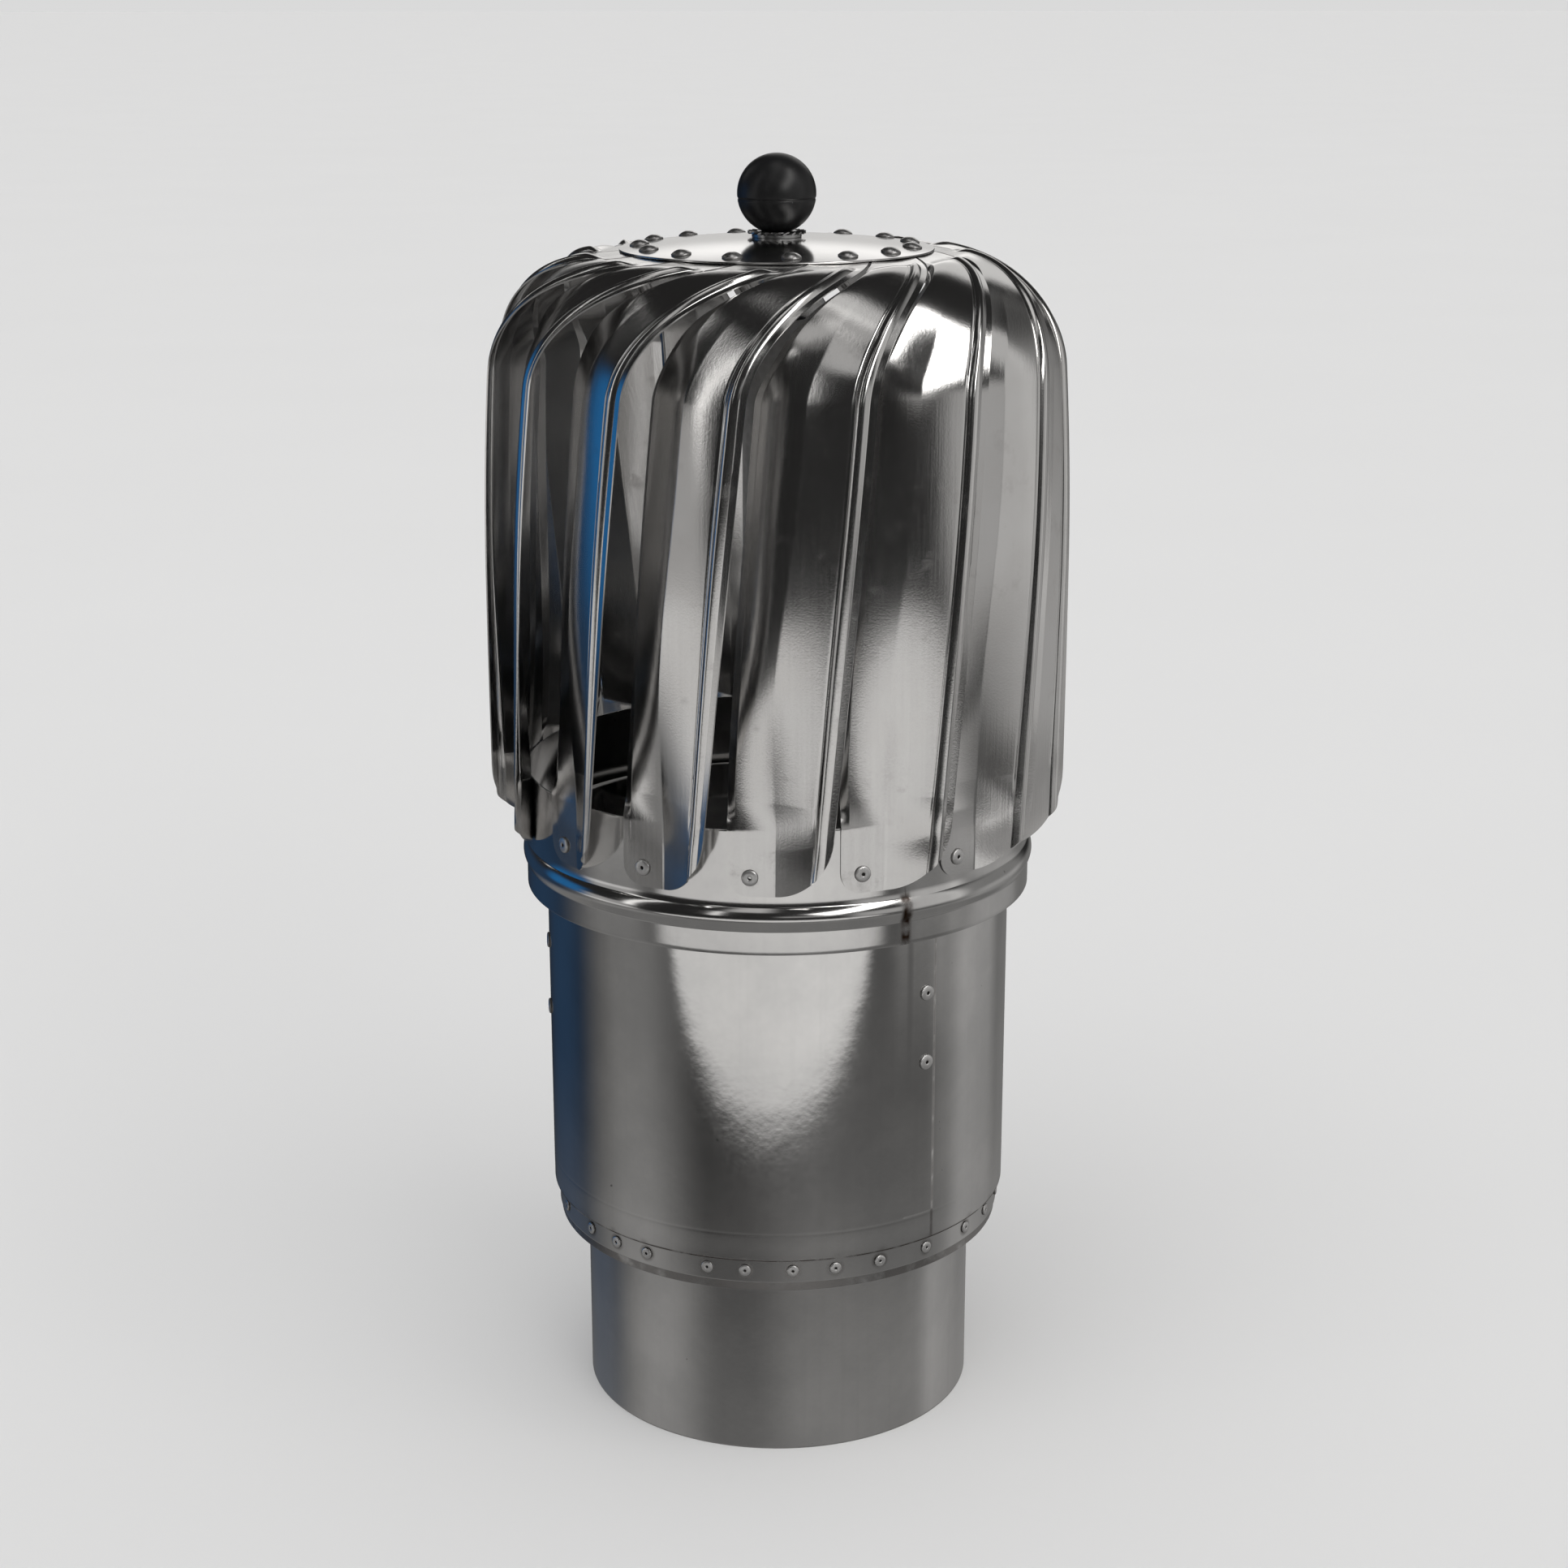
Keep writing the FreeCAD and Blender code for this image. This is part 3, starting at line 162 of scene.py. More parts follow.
# ---- finishes -----------------------------------------------------------------------------
class Wire:
    """A socket of a node tree. Arithmetic on wires adds Math nodes."""

    def __init__(self, finish, socket):
        self.finish = finish
        self.socket = socket

    def math(self, operation, *others):
        values = dict(enumerate((self, *others)))
        return self.finish.node("ShaderNodeMath", {"operation": operation}, values)

    def __add__(self, other):
        return self.math("ADD", other)

    def __radd__(self, other):
        return self.math("ADD", other)

    def __sub__(self, other):
        return self.math("SUBTRACT", other)

    def __rsub__(self, other):
        return self.finish.node("ShaderNodeMath", {"operation": "SUBTRACT"}, {0: other, 1: self})

    def __mul__(self, other):
        return self.math("MULTIPLY", other)

    def __rmul__(self, other):
        return self.math("MULTIPLY", other)

    def __truediv__(self, other):
        return self.math("DIVIDE", other)

    def __pow__(self, other):
        return self.math("POWER", other)

    def abs(self):
        return self.math("ABSOLUTE")

    def most(self, other):
        return self.math("MAXIMUM", other)

    def step(self, low, high):
        """Eased step from 0 below low to 1 above high, or the other way round where low is above high."""
        flip = low > high
        ends = (high, low) if flip else (low, high)
        out = (1.0, 0.0) if flip else (0.0, 1.0)
        values = {"Value": self, "From Min": ends[0], "From Max": ends[1], "To Min": out[0], "To Max": out[1]}
        return self.finish.node("ShaderNodeMapRange", {"interpolation_type": "SMOOTHSTEP"}, values)


class Tree:
    """A node tree with one method that adds any node."""

    def __init__(self, tree):
        self.tree = tree
        self.tree.nodes.clear()

    def node(self, kind, settings=None, values=None, out=0):
        """Adds a node, sets its settings and then its sockets, and returns one output as a Wire."""
        made = self.tree.nodes.new(kind)
        for name, value in (settings or {}).items():
            setattr(made, name, value)
        for name, value in (values or {}).items():
            socket = made.inputs[name]
            if isinstance(value, Wire):
                self.tree.links.new(value.socket, socket)
            else:
                socket.default_value = value
        return Wire(self, made.outputs[out])

    def split(self, vector):
        made = self.tree.nodes.new("ShaderNodeSeparateXYZ")
        self.tree.links.new(vector.socket, made.inputs[0])
        return [Wire(self, output) for output in made.outputs]

    def join(self, x, y, z):
        return self.node("ShaderNodeCombineXYZ", {}, {0: x, 1: y, 2: z})

    def noise(self, place, scale, detail=3.0, rough=0.5):
        return self.node("ShaderNodeTexNoise", {}, {"Vector": place, "Scale": scale, "Detail": detail,
                                                    "Roughness": rough})

    def mix(self, amount, first, second):
        """Colour that goes from first to second."""
        settings = {"data_type": "RGBA", "clamp_factor": True}
        return self.node("ShaderNodeMix", settings, {0: amount, 6: first, 7: second}, out=2)


def grey(value, warm=0.0):
    """A grey, a little warm or cool."""
    return (value * (1 + warm), value, value * (1 - warm), 1.0)


class Finish(Tree):
    """A material with a Principled shader; constant values go straight onto its sockets."""

    def __init__(self, name, **constants):
        self.material = bpy.data.materials.new(name)
        self.material.use_nodes = True
        super().__init__(self.material.node_tree)
        self.shader = self.tree.nodes.new("ShaderNodeBsdfPrincipled")
        output = self.tree.nodes.new("ShaderNodeOutputMaterial")
        self.tree.links.new(self.shader.outputs[0], output.inputs[0])
        for socket, value in constants.items():
            self.shader.inputs[socket.replace("_", " ")].default_value = value
        self.place = self.node("ShaderNodeTexCoord", {}, {}, out=3)

    def drive(self, socket, wire):
        self.tree.links.new(wire.socket, self.shader.inputs[socket])

    def bump(self, height, distance):
        """Adds a bump whose height is distance, in metres, times the given wire."""
        values = {"Height": height, "Distance": distance, "Strength": 1.0}
        if self.shader.inputs["Normal"].links:
            values["Normal"] = Wire(self, self.shader.inputs["Normal"].links[0].from_socket)
        self.drive("Normal", self.node("ShaderNodeBump", {}, values))

    def attribute(self, name):
        return self.node("ShaderNodeAttribute", {"attribute_name": name}, {}, out=2)

    def around(self):
        """Angle from the front in radians, radius and height, from the object's own coordinates."""
        x, y, z = self.split(self.place)
        angle = x.math("ARCTAN2", y * -1.0)
        radius = (x * x + y * y) ** 0.5
        return angle, radius, z

    def streaks(self, across, along, detail=3.0):
        """Noise drawn out along the height; across and along are its sizes in metres."""
        angle, radius, z = self.around()
        drawn = self.join(angle * radius / across, radius / across, z / along)
        return self.noise(drawn, 1.0, detail)


def bright_sheet(name, shade=0.80):
    """Bright rolled sheet: near mirror, with a frosted grain, faint streaks, scratches and prints."""
    finish = Finish(name, Metallic=1.0)
    blotch = finish.noise(finish.place, 26.0, 4.0)
    streak = finish.streaks(0.0016, 0.16)
    grain = finish.noise(finish.place, 1100.0, 3.0, 0.6)
    print_mask = finish.noise(finish.place, 60.0, 5.0, 0.65).step(0.56, 0.74)
    scratch = finish.streaks(0.00025, 0.05, 2.0).step(0.73, 0.80)
    tone = finish.mix(blotch.step(0.3, 0.7), grey(shade * 0.93, 0.012), grey(shade, 0.006))
    tone = finish.mix(print_mask * 0.25, tone, grey(shade * 0.78, 0.03))
    finish.drive("Base Color", tone)
    rough = 0.06 + streak * 0.06 + blotch * 0.05 + grain * 0.06 + print_mask * 0.08 + scratch * 0.10
    finish.drive("Roughness", rough)
    finish.bump(grain, 0.000018)
    finish.bump(streak, 0.000018)
    return finish


def satin_sheet(name, shade=0.84, rough=0.035):
    """Satin galvanised sheet with a leathery skin, cloudy patches, a few specks, and brown darkening that is
    dirt in places and painted shade in others.
    """
    finish = Finish(name, Metallic=1.0)
    cloud = finish.noise(finish.place, 14.0, 5.0, 0.6)
    skin = finish.noise(finish.place, 420.0, 3.0, 0.6)
    streak = finish.streaks(0.004, 0.20)
    speck = finish.noise(finish.place, 230.0, 1.0).step(0.80, 0.84)
    grime_and_shade = finish.attribute("grime_and_shade")
    tone = finish.mix(cloud.step(0.3, 0.7), grey(shade * 0.86, 0.004), grey(shade * 1.05, 0.010))
    tone = finish.mix(streak.step(0.45, 0.75) * 0.10, tone, grey(shade * 0.74, 0.01))
    tone = finish.mix(speck * 0.6, tone, grey(0.10))
    # The grime attribute darkens the sheet towards brown: real dirt at the rivets and the ring's drip,
    # painted shade at the lap seam, under the shell's edge and under the band.
    broken = grime_and_shade * finish.noise(finish.place, 110.0, 3.0).step(0.20, 0.55)
    tone = finish.mix(broken, tone, (0.045, 0.024, 0.014, 1.0))
    finish.drive("Base Color", tone)
    finish.drive("Roughness", rough + cloud * 0.03 + skin * 0.03 + broken * 0.25)
    finish.bump(skin, 0.0000035)
    finish.bump(cloud, 0.00007)
    return finish


def polished_disc():
    """Mirror-polished disc with fine turning marks and a little dust."""
    finish = Finish("polished_disc", Metallic=1.0)
    angle, radius, z = finish.around()
    turning = finish.noise(finish.join(radius * 2600.0, angle * 1.2, 0.0), 1.0, 2.0)
    dust = finish.noise(finish.place, 900.0, 2.0).step(0.70, 0.80)
    blotch = finish.noise(finish.place, 40.0, 4.0)
    finish.drive("Base Color", finish.mix(blotch, grey(0.80, 0.004), grey(0.72, 0.01)))
    finish.drive("Roughness", 0.07 + turning * 0.06 + blotch * 0.05 + dust * 0.25)
    finish.bump(turning, 0.000006)
    return finish


def rivet_metal(name, shade, rough):
    """Bright rivet metal with set marks, with painted shade at the heads' rims and in the mandrel holes."""
    finish = Finish(name, Metallic=1.0)
    mark = finish.noise(finish.place, 900.0, 4.0, 0.6)
    patch = finish.noise(finish.place, 220.0, 3.0)
    grime_and_shade = finish.attribute("grime_and_shade")
    tone = finish.mix(patch, grey(shade, 0.0), grey(shade * 0.8, 0.01))
    # Painted shade: the grime attribute darkens the heads' rims and the mandrel holes.
    tone = finish.mix(grime_and_shade, tone, (0.03, 0.024, 0.02, 1.0))
    finish.drive("Base Color", tone)
    finish.drive("Roughness", rough + mark * 0.18 + grime_and_shade * 0.3)
    finish.bump(mark, 0.00004)
    return finish


def knob_plastic():
    """Black moulded plastic with a fine satin skin and a few dust motes."""
    finish = Finish("knob_plastic", Specular_IOR_Level=0.5)
    skin = finish.noise(finish.place, 1400.0, 2.0)
    wear = finish.noise(finish.place, 90.0, 4.0)
    mote = finish.noise(finish.place, 700.0, 1.0).step(0.79, 0.83)
    tone = finish.mix(wear, (0.006, 0.006, 0.0065, 1.0), (0.011, 0.011, 0.012, 1.0))
    finish.drive("Base Color", finish.mix(mote * 0.25, tone, grey(0.25)))
    finish.drive("Roughness", 0.30 + wear * 0.06 + skin * 0.04)
    finish.bump(skin, 0.000015)
    return finish


def plated_steel(name, shade, rough):
    """Plated or galvanised steel for the fixings and the hidden frame."""
    finish = Finish(name, Metallic=1.0)
    spangle = finish.node("ShaderNodeTexVoronoi", {}, {"Vector": finish.place, "Scale": 260.0})
    cloud = finish.noise(finish.place, 60.0, 4.0)
    tone = finish.mix(spangle, grey(shade * 0.8), grey(shade * 1.1))
    finish.drive("Base Color", finish.mix(cloud * 0.5, tone, grey(shade * 0.7)))
    finish.drive("Roughness", rough + cloud * 0.15)
    finish.bump(cloud, 0.0002)
    return finish


def brass_strip():
    finish = Finish("brass_strip", Metallic=1.0)
    patch = finish.noise(finish.place, 500.0, 4.0)
    finish.drive("Base Color", finish.mix(patch, (0.62, 0.42, 0.16, 1.0), (0.45, 0.30, 0.12, 1.0)))
    finish.drive("Roughness", 0.25 + patch * 0.2)
    return finish


# ---- path of the vanes --------------------------------------------------------------------
def smooth(value):
    value = min(max(value, 0.0), 1.0)
    return value * value * (3 - 2 * value)


def unit(angle):
    return np.array([math.sin(math.radians(angle)), -math.cos(math.radians(angle)), 0.0])


def polar(radius, angle, height):
    return unit(angle) * radius + np.array([0.0, 0.0, height])


class OuterEdge:
    """Path of a vane's outer edge: an upright wall, a slight taper, a shoulder and a crown."""

    def __init__(self):
        self.taper_at = TAPER_START - VANE_BOTTOM
        self.shoulder_at = self.taper_at + TAPER_RADIUS * TAPER_TURN
        start_r = VANE_RADIUS - TAPER_RADIUS * (1 - math.cos(TAPER_TURN))
        start_z = TAPER_START + TAPER_RADIUS * math.sin(TAPER_TURN)
        self.centre_r = start_r - SHOULDER_RADIUS * math.cos(TAPER_TURN)
        self.centre_z = start_z - SHOULDER_RADIUS * math.sin(TAPER_TURN)
        drop = CROWN_RADIUS - SHOULDER_RADIUS
        self.crown_tilt = math.acos(self.centre_r / drop)
        self.crown_at = self.shoulder_at + SHOULDER_RADIUS * (self.crown_tilt - TAPER_TURN)
        self.crown_z = self.centre_z - drop * math.sin(self.crown_tilt)
        end_tilt = math.acos(CROWN_END / CROWN_RADIUS)
        self.length = self.crown_at + CROWN_RADIUS * (end_tilt - self.crown_tilt)

    def place(self, along):
        """Radius, height and inward tilt in radians at a developed length from the foot."""
        if along <= self.taper_at:
            return VANE_RADIUS, VANE_BOTTOM + along, 0.0
        if along <= self.shoulder_at:
            tilt = (along - self.taper_at) / TAPER_RADIUS
            radius = VANE_RADIUS - TAPER_RADIUS * (1 - math.cos(tilt))
            return radius, TAPER_START + TAPER_RADIUS * math.sin(tilt), tilt
        if along <= self.crown_at:
            tilt = TAPER_TURN + (along - self.shoulder_at) / SHOULDER_RADIUS
            return (self.centre_r + SHOULDER_RADIUS * math.cos(tilt),
                    self.centre_z + SHOULDER_RADIUS * math.sin(tilt), tilt)
        tilt = self.crown_tilt + (along - self.crown_at) / CROWN_RADIUS
        return CROWN_RADIUS * math.cos(tilt), self.crown_z + CROWN_RADIUS * math.sin(tilt), tilt

    def sweep(self, along):
        """Degrees past the rivet at a developed length from the foot."""
        if along <= self.shoulder_at:
            return LEAN_START + LEAN_RATE * along
        past = along - self.shoulder_at
        ramp = (SWEEP_CAP - LEAN_RATE) / SWEEP_GROWTH
        ramped = min(past, ramp)
        sweep = LEAN_START + LEAN_RATE * self.shoulder_at
        sweep = sweep + LEAN_RATE * ramped + SWEEP_GROWTH * ramped ** 2 / 2
        return sweep + SWEEP_CAP * (past - ramped)


EDGE = OuterEdge()


class VaneSection:
    """Cross-section of a vane at one developed length from its foot."""

    def __init__(self, along):
        radius, height, tilt = EDGE.place(along)
        sweep = EDGE.sweep(along)
        outer = polar(radius, sweep, height)
        above = max(height - RING_TOP, 0.0)
        opening = 1 - math.exp(-above / INSET_REACH)
        foot_inset = VANE_RADIUS - math.hypot(TAB_LEVEL, TAB_LEFT)
        shoulder = smooth((along - EDGE.shoulder_at) / (EDGE.crown_at - EDGE.shoulder_at))
        inset = (foot_inset + (VANE_INSET - foot_inset) * opening) * (1 - shoulder)
        span = VANE_SPAN_FOOT + (VANE_SPAN_WALL - VANE_SPAN_FOOT) * opening
        span = span + (VANE_SPAN_TOP - span) * shoulder + SHOULDER_LAP * math.sin(math.pi * shoulder ** 2)
        angle = FOOT_ANGLE + (sweep - span - FOOT_ANGLE) * smooth(above / FOOT_HEIGHT)
        self.inner = polar(radius - inset * math.cos(tilt), angle, height - inset * math.sin(tilt))
        self.chord = outer - self.inner
        self.width = float(np.linalg.norm(self.chord))
        rise = np.array([0.0, 0.0, math.cos(tilt)]) - unit(angle) * math.sin(tilt)
        normal = np.cross(self.chord, rise)
        self.normal = normal / np.linalg.norm(normal)
        to_fold = unit(0) * TAB_LEVEL + unit(90) * TAB_RIGHT + np.array([0.0, 0.0, height]) - self.inner
        self.folded = 1 - smooth((height - RING_TOP) / (FOLD_TOP - RING_TOP))
        share = float(to_fold @ self.chord) / self.width ** 2
        self.fold_share = share * self.folded + 0.45 * (1 - self.folded)
        self.fold_depth = float(to_fold @ self.normal)
        self.flat = smooth((along - EDGE.crown_at) / 8.0)
        self.above = smooth((height - RING_TOP) / 12.0)
        fade = 1 - smooth((along - EDGE.shoulder_at + 10.0) / 70.0)
        self.camber = PANEL_CAMBER * smooth((height - RING_TOP + 15.0) / 130.0) * fade

    def point(self, across):
        """Point on the middle of the sheet; across runs from 0 inside to 1 outside."""
        tent = min(across / self.fold_share, (1 - across) / (1 - self.fold_share))
        lift = self.fold_depth * self.folded * tent
        lift += PANEL_BULGE * (1 - self.folded) * 4 * across * (1 - across) * (1 - self.flat)
        from_edge = (1 - across) * self.width
        off_crest = abs(from_edge - BEAD_FROM_EDGE) / VANE_BEAD_WIDTH
        bead = math.sqrt(max(1 - off_crest ** 2, 0.0)) if off_crest < 1 else 0.0
        shaped = 0.55 * bead + 0.45 * smooth(1 - off_crest)
        lift += VANE_BEAD_HEIGHT * shaped * (1 - self.flat)
        lift += self.camber * (0.75 * tent + 0.25 * 4 * across * (1 - across))
        crease = max(1 - abs(from_edge - CREASE_FROM_EDGE) / 0.7, 0.0)
        lift -= 0.22 * crease * (1 - self.flat) * self.above
        lift -= LIP_DROP * max(1 - across * self.width / LIP_WIDTH, 0.0) * self.above * (1 - self.flat)
        return self.inner + self.chord * across + self.normal * lift


def foot_rise(from_inner, from_outer):
    """How far the vane's lower edge rises at its two rounded corners."""
    left = TAB_CORNER - min(from_inner, TAB_CORNER)
    right = TAIL_CORNER - min(from_outer, TAIL_CORNER)
    rise = TAB_CORNER - math.sqrt(TAB_CORNER ** 2 - left ** 2)
    return rise + TAIL_CORNER - math.sqrt(TAIL_CORNER ** 2 - right ** 2)


EDGE_STEPS = [0.0, 0.25, 0.8, 1.6, 2.6, 3.2, 3.38, 3.5, 3.8, 4.3, 4.9, 5.6, 6.4, 7.2, 7.9, 8.5, 9.0,
              9.3, 9.42, 9.6, 9.9, 10.25, 10.6, 10.95, 11.3, 12.0]
LIP_STEPS = [0.0, 0.25, 1.0, 2.0, 3.0, 3.7, 4.0, 4.3, 5.0]
PANEL_COLUMNS = 12


def cross_columns(section):
    """Shares of the width at each long edge of the mesh, closer at the lip, the fold and the bead."""
    lip = [step / section.width for step in LIP_STEPS]
    edge = [1 - step / section.width for step in reversed(EDGE_STEPS)]
    close = 0.9 / section.width
    fold = min(max(section.fold_share, lip[-1] + 2.2 * close), edge[0] - 2.2 * close)
    left = np.linspace(lip[-1], fold - close, PANEL_COLUMNS)[1:]
    right = np.linspace(fold + close, edge[0], PANEL_COLUMNS)[:-1]
    return lip + list(left) + [fold] + list(right) + edge


def vane_stations():
    foot = list(np.linspace(0.0, FOOT_HEIGHT, 56))
    wall = list(np.linspace(FOOT_HEIGHT, EDGE.shoulder_at, 60))[1:]
    shoulder = list(np.linspace(EDGE.shoulder_at, EDGE.crown_at, 48))[1:]
    crown = list(np.linspace(EDGE.crown_at, EDGE.length, 22))[1:]
    return foot + wall + shoulder + crown


def vane_grid():
    """Points on the middle of the first vane's sheet, before it is turned to its place."""
    foot_width = VaneSection(0.0).width
    grid = []
    for along in vane_stations():
        section = VaneSection(along)
        shares = cross_columns(section)
        squeeze = max(1 - along / FOOT_HEIGHT, 0.0)
        row = []
        for across in shares:
            rise = squeeze * foot_rise(foot_width * across, foot_width * (1 - across)) if squeeze else 0.0
            row.append((VaneSection(along + rise) if rise > 1e-6 else section).point(across))
        grid.append(row)
    return np.array(grid)


# ---- mesh helpers -------------------------------------------------------------------------
def add_piece(name, points, faces, finish, body, nodes=(), sharp=None):
    """Makes a mesh object from points in millimetres and puts it on its body."""
    mesh = bpy.data.meshes.new(name)
    mesh.from_pydata([tuple(point) for point in np.asarray(points) * MM], [], faces)
    mesh.validate()
    mesh.polygons.foreach_set("use_smooth", [True] * len(mesh.polygons))
    mesh.materials.append(finish.material)
    piece = bpy.data.objects.new(name, mesh)
    bpy.context.collection.objects.link(piece)
    if sharp is not None:
        mesh.set_sharp_from_angle(angle=math.radians(sharp))
    weighted = piece.modifiers.new("even_normals", "WEIGHTED_NORMAL")
    weighted.weight = 60
    weighted.keep_sharp = True
    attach(piece, body)
    if nodes:
        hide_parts(*nodes)
    return piece


def grid_faces(rows, columns, closed_rows=False, closed_columns=False):
    faces = []
    for i in range(rows if closed_rows else rows - 1):
        for j in range(columns if closed_columns else columns - 1):
            a, b = i * columns + j, i * columns + (j + 1) % columns
            c, d = ((i + 1) % rows) * columns + (j + 1) % columns, ((i + 1) % rows) * columns + j
            faces.append((a, b, c, d))
    return faces


def grid_normals(grid):
    down = np.gradient(grid, axis=0)
    side = np.gradient(grid, axis=1)
    normals = np.cross(side, down)
    return normals / np.linalg.norm(normals, axis=2, keepdims=True)


def sheet_mesh(grid, thickness):
    """Closed sheet of even thickness around a grid of middle points."""
    rows, columns = grid.shape[:2]
    normals = grid_normals(grid)
    front = (grid + normals * thickness / 2).reshape(-1, 3)
    back = (grid - normals * thickness / 2).reshape(-1, 3)
    count = rows * columns
    faces = grid_faces(rows, columns)
    faces += [tuple(count + k for k in reversed(face)) for face in faces]
    rim = list(range(columns)) + [i * columns + columns - 1 for i in range(1, rows)]
    rim += [(rows - 1) * columns + j for j in range(columns - 2, -1, -1)]
    rim += [i * columns for i in range(rows - 2, 0, -1)]
    for a, b in zip(rim, rim[1:] + rim[:1]):
        faces.append((b, a, count + a, count + b))
    return np.vstack([front, back]), faces


def rounded(points, radius, steps=3):
    """Closed outline with its corners rounded by up to the given radius."""
    points = [np.array(point, float) for point in points]
    result = []
    for before, corner, after in zip(points[-1:] + points[:-1], points, points[1:] + points[:1]):
        to_before, to_after = before - corner, after - corner
        reach = min(radius, np.linalg.norm(to_before) * 0.45, np.linalg.norm(to_after) * 0.45)
        a = to_before / np.linalg.norm(to_before)
        b = to_after / np.linalg.norm(to_after)
        if float(a @ b) < -0.995:
            result.append(corner)
            continue
        for share in np.linspace(0, 1, steps + 1):
            first = corner + a * reach * (1 - share)
            second = corner + b * reach * share
            result.append(first * (1 - share) + second * share)
    return result


def arc_points(centre, radius, start, end, count):
    turns = np.linspace(start, end, count)
    return [(centre[0] + radius * math.cos(t), centre[1] + radius * math.sin(t)) for t in turns]


def turned_sheet(name, outline, finish, body, nodes, segments=360, swell=None, grime_and_shade=None):
    """Closed outline (radius, height) turned about the axis. swell moves each point out by a function
    of its angle, radius and height; grime gives each point a darkening between 0 and 1, real dirt in places
    and painted shade in others."""
    points = []
    dirt_and_shade = []
    for k in range(segments):
        angle = 360.0 * k / segments
        for radius, height in outline:
            out = swell(angle, radius, height) if swell else 0.0
            points.append(polar(radius + out, angle, height))
            if grime_and_shade:
                dirt_and_shade.append(grime_and_shade(angle, radius, height))
    faces = grid_faces(segments, len(outline), closed_rows=True, closed_columns=True)
    piece = add_piece(name, points, faces, finish, body, nodes)
    if grime_and_shade:
        layer = piece.data.attributes.new("grime_and_shade", "FLOAT", "POINT")
        layer.data.foreach_set("value", dirt_and_shade)
    return piece


def angle_gap(first, second):
    return (first - second + 180.0) % 360.0 - 180.0


# ---- rivets -------------------------------------------------------------------------------
def blind_head(head, shank):
    """Outline of a blind rivet's head from its rim to the bottom of the mandrel hole."""
    crown, brim, mouth = head * 0.32, head * 0.1, shank * 0.42
    rim = [(head * 0.90, 0.0), (head * 0.97, 0.02), (head, brim * 0.5), (head * 0.992, brim)]
    dome = [(head * (1 - 0.14 * t) - (head * 0.86 - mouth * 1.9) * t ** 3,
             brim + (crown - brim) * math.sin(t * math.pi / 2)) for t in np.linspace(0.08, 1, 9)]
    lip = [(mouth * 1.5, crown * 1.0), (mouth * 1.15, crown * 0.95), (mouth, crown * 0.80),
           (mouth * 0.97, crown * 0.2), (mouth * 0.90, -0.3), (mouth * 0.62, -0.42), (mouth * 0.3, -0.2),
           (0.0, -0.12)]
    return rim + dome + lip


def dome_head(head):
    """Outline of a solid dome head from its rim to its top."""
    crown, brim = head * 0.55, head * 0.1
    rise = crown - brim
    sphere = (head ** 2 + rise ** 2) / (2 * rise)
    half = math.asin(min(head / sphere, 1.0))
    rim = [(head * 0.92, 0.0), (head * 0.985, 0.03), (head, brim * 0.6)]
    dome = [(sphere * math.sin(t), crown - sphere * (1 - math.cos(t))) for t in np.linspace(half, 0, 12)]
    return rim + dome


def head_mesh(outline, turns=40):
    """Points and faces of a head turned about +Z; the last outline point lies on the axis."""
    ring = outline[:-1]
    points = [(r * math.cos(2 * math.pi * k / turns), r * math.sin(2 * math.pi * k / turns), z)
              for k in range(turns) for r, z in ring]
    faces = grid_faces(turns, len(ring), closed_rows=True)
    tip = len(points)
    points.append((0.0, 0.0, outline[-1][1]))
    last = len(ring) - 1
    for k in range(turns):
        faces.append((k * len(ring) + last, tip, ((k + 1) % turns) * len(ring) + last))
    foot = len(points)
    points.append((0.0, 0.0, outline[0][1]))
    for k in range(turns):
        faces.append((k * len(ring), ((k + 1) % turns) * len(ring), foot))
    return np.array(points), faces


def set_rivets(name, outline, places, finish, body, nodes, seed, grime_and_shade):
    """One piece with a head at each place (origin, outward direction); each is set a little askew."""
    chance = np.random.default_rng(seed)
    head, head_faces = head_mesh(outline)
    reach = max(point[0] for point in outline)
    points, faces, dirt_and_shade = [], [], []
    for origin, outward in places:
        turn = Vector(outward).to_track_quat("Z", "Y").to_matrix()
        askew = math.radians(chance.uniform(0, 1.2))
        tilt = Matrix.Rotation(askew, 3, Vector((chance.normal(), chance.normal(), 0.01)))
        spin = Matrix.Rotation(chance.uniform(0, 6.28), 3, "Z")
        size = np.array([1.0, 1.0, chance.uniform(0.94, 1.0)])
        placed = (np.array(turn @ tilt @ spin) @ (head * size).T).T + np.array(origin)
        start = sum(len(part) for part in points)
        points.append(placed)
        faces += [tuple(start + k for k in face) for face in head_faces]
        # Painted shade: a dark ring where each head meets the sheet and, for blind rivets, a dark mandrel
        # hole.
        from_axis = np.hypot(head[:, 0], head[:, 1]) / reach
        edge = np.clip((from_axis - 0.90) / 0.08, 0, 1)
        hole = np.clip((0.24 - from_axis) / 0.04, 0, 1) if grime_and_shade else 0 * edge
        dirt_and_shade.append(np.maximum(edge * 0.6, hole))
    piece = add_piece(name, np.vstack(points), faces, finish, body, nodes, sharp=50)
    layer = piece.data.attributes.new("grime_and_shade", "FLOAT", "POINT")
    layer.data.foreach_set("value", np.concatenate(dirt_and_shade).astype(float))
    return piece


# ---- fixed body ---------------------------------------------------------------------------
def lap_swell(angle, radius, height):
    """Steps out at the shell's lap seam and runs back into the shell over the lap's width."""
    if radius < SHELL_RADIUS - SHEET / 2 or height < SHELL_NECK_TOP - 1:
        return 0.0
    past = angle_gap(angle, LAP_ANGLE)
    width = math.degrees(LAP_WIDTH / SHELL_RADIUS)
    if past > 0.0 or past < -width - 3:
        return 0.0
    return LAP_RISE * (1 - smooth((-past - width) / 3.0))


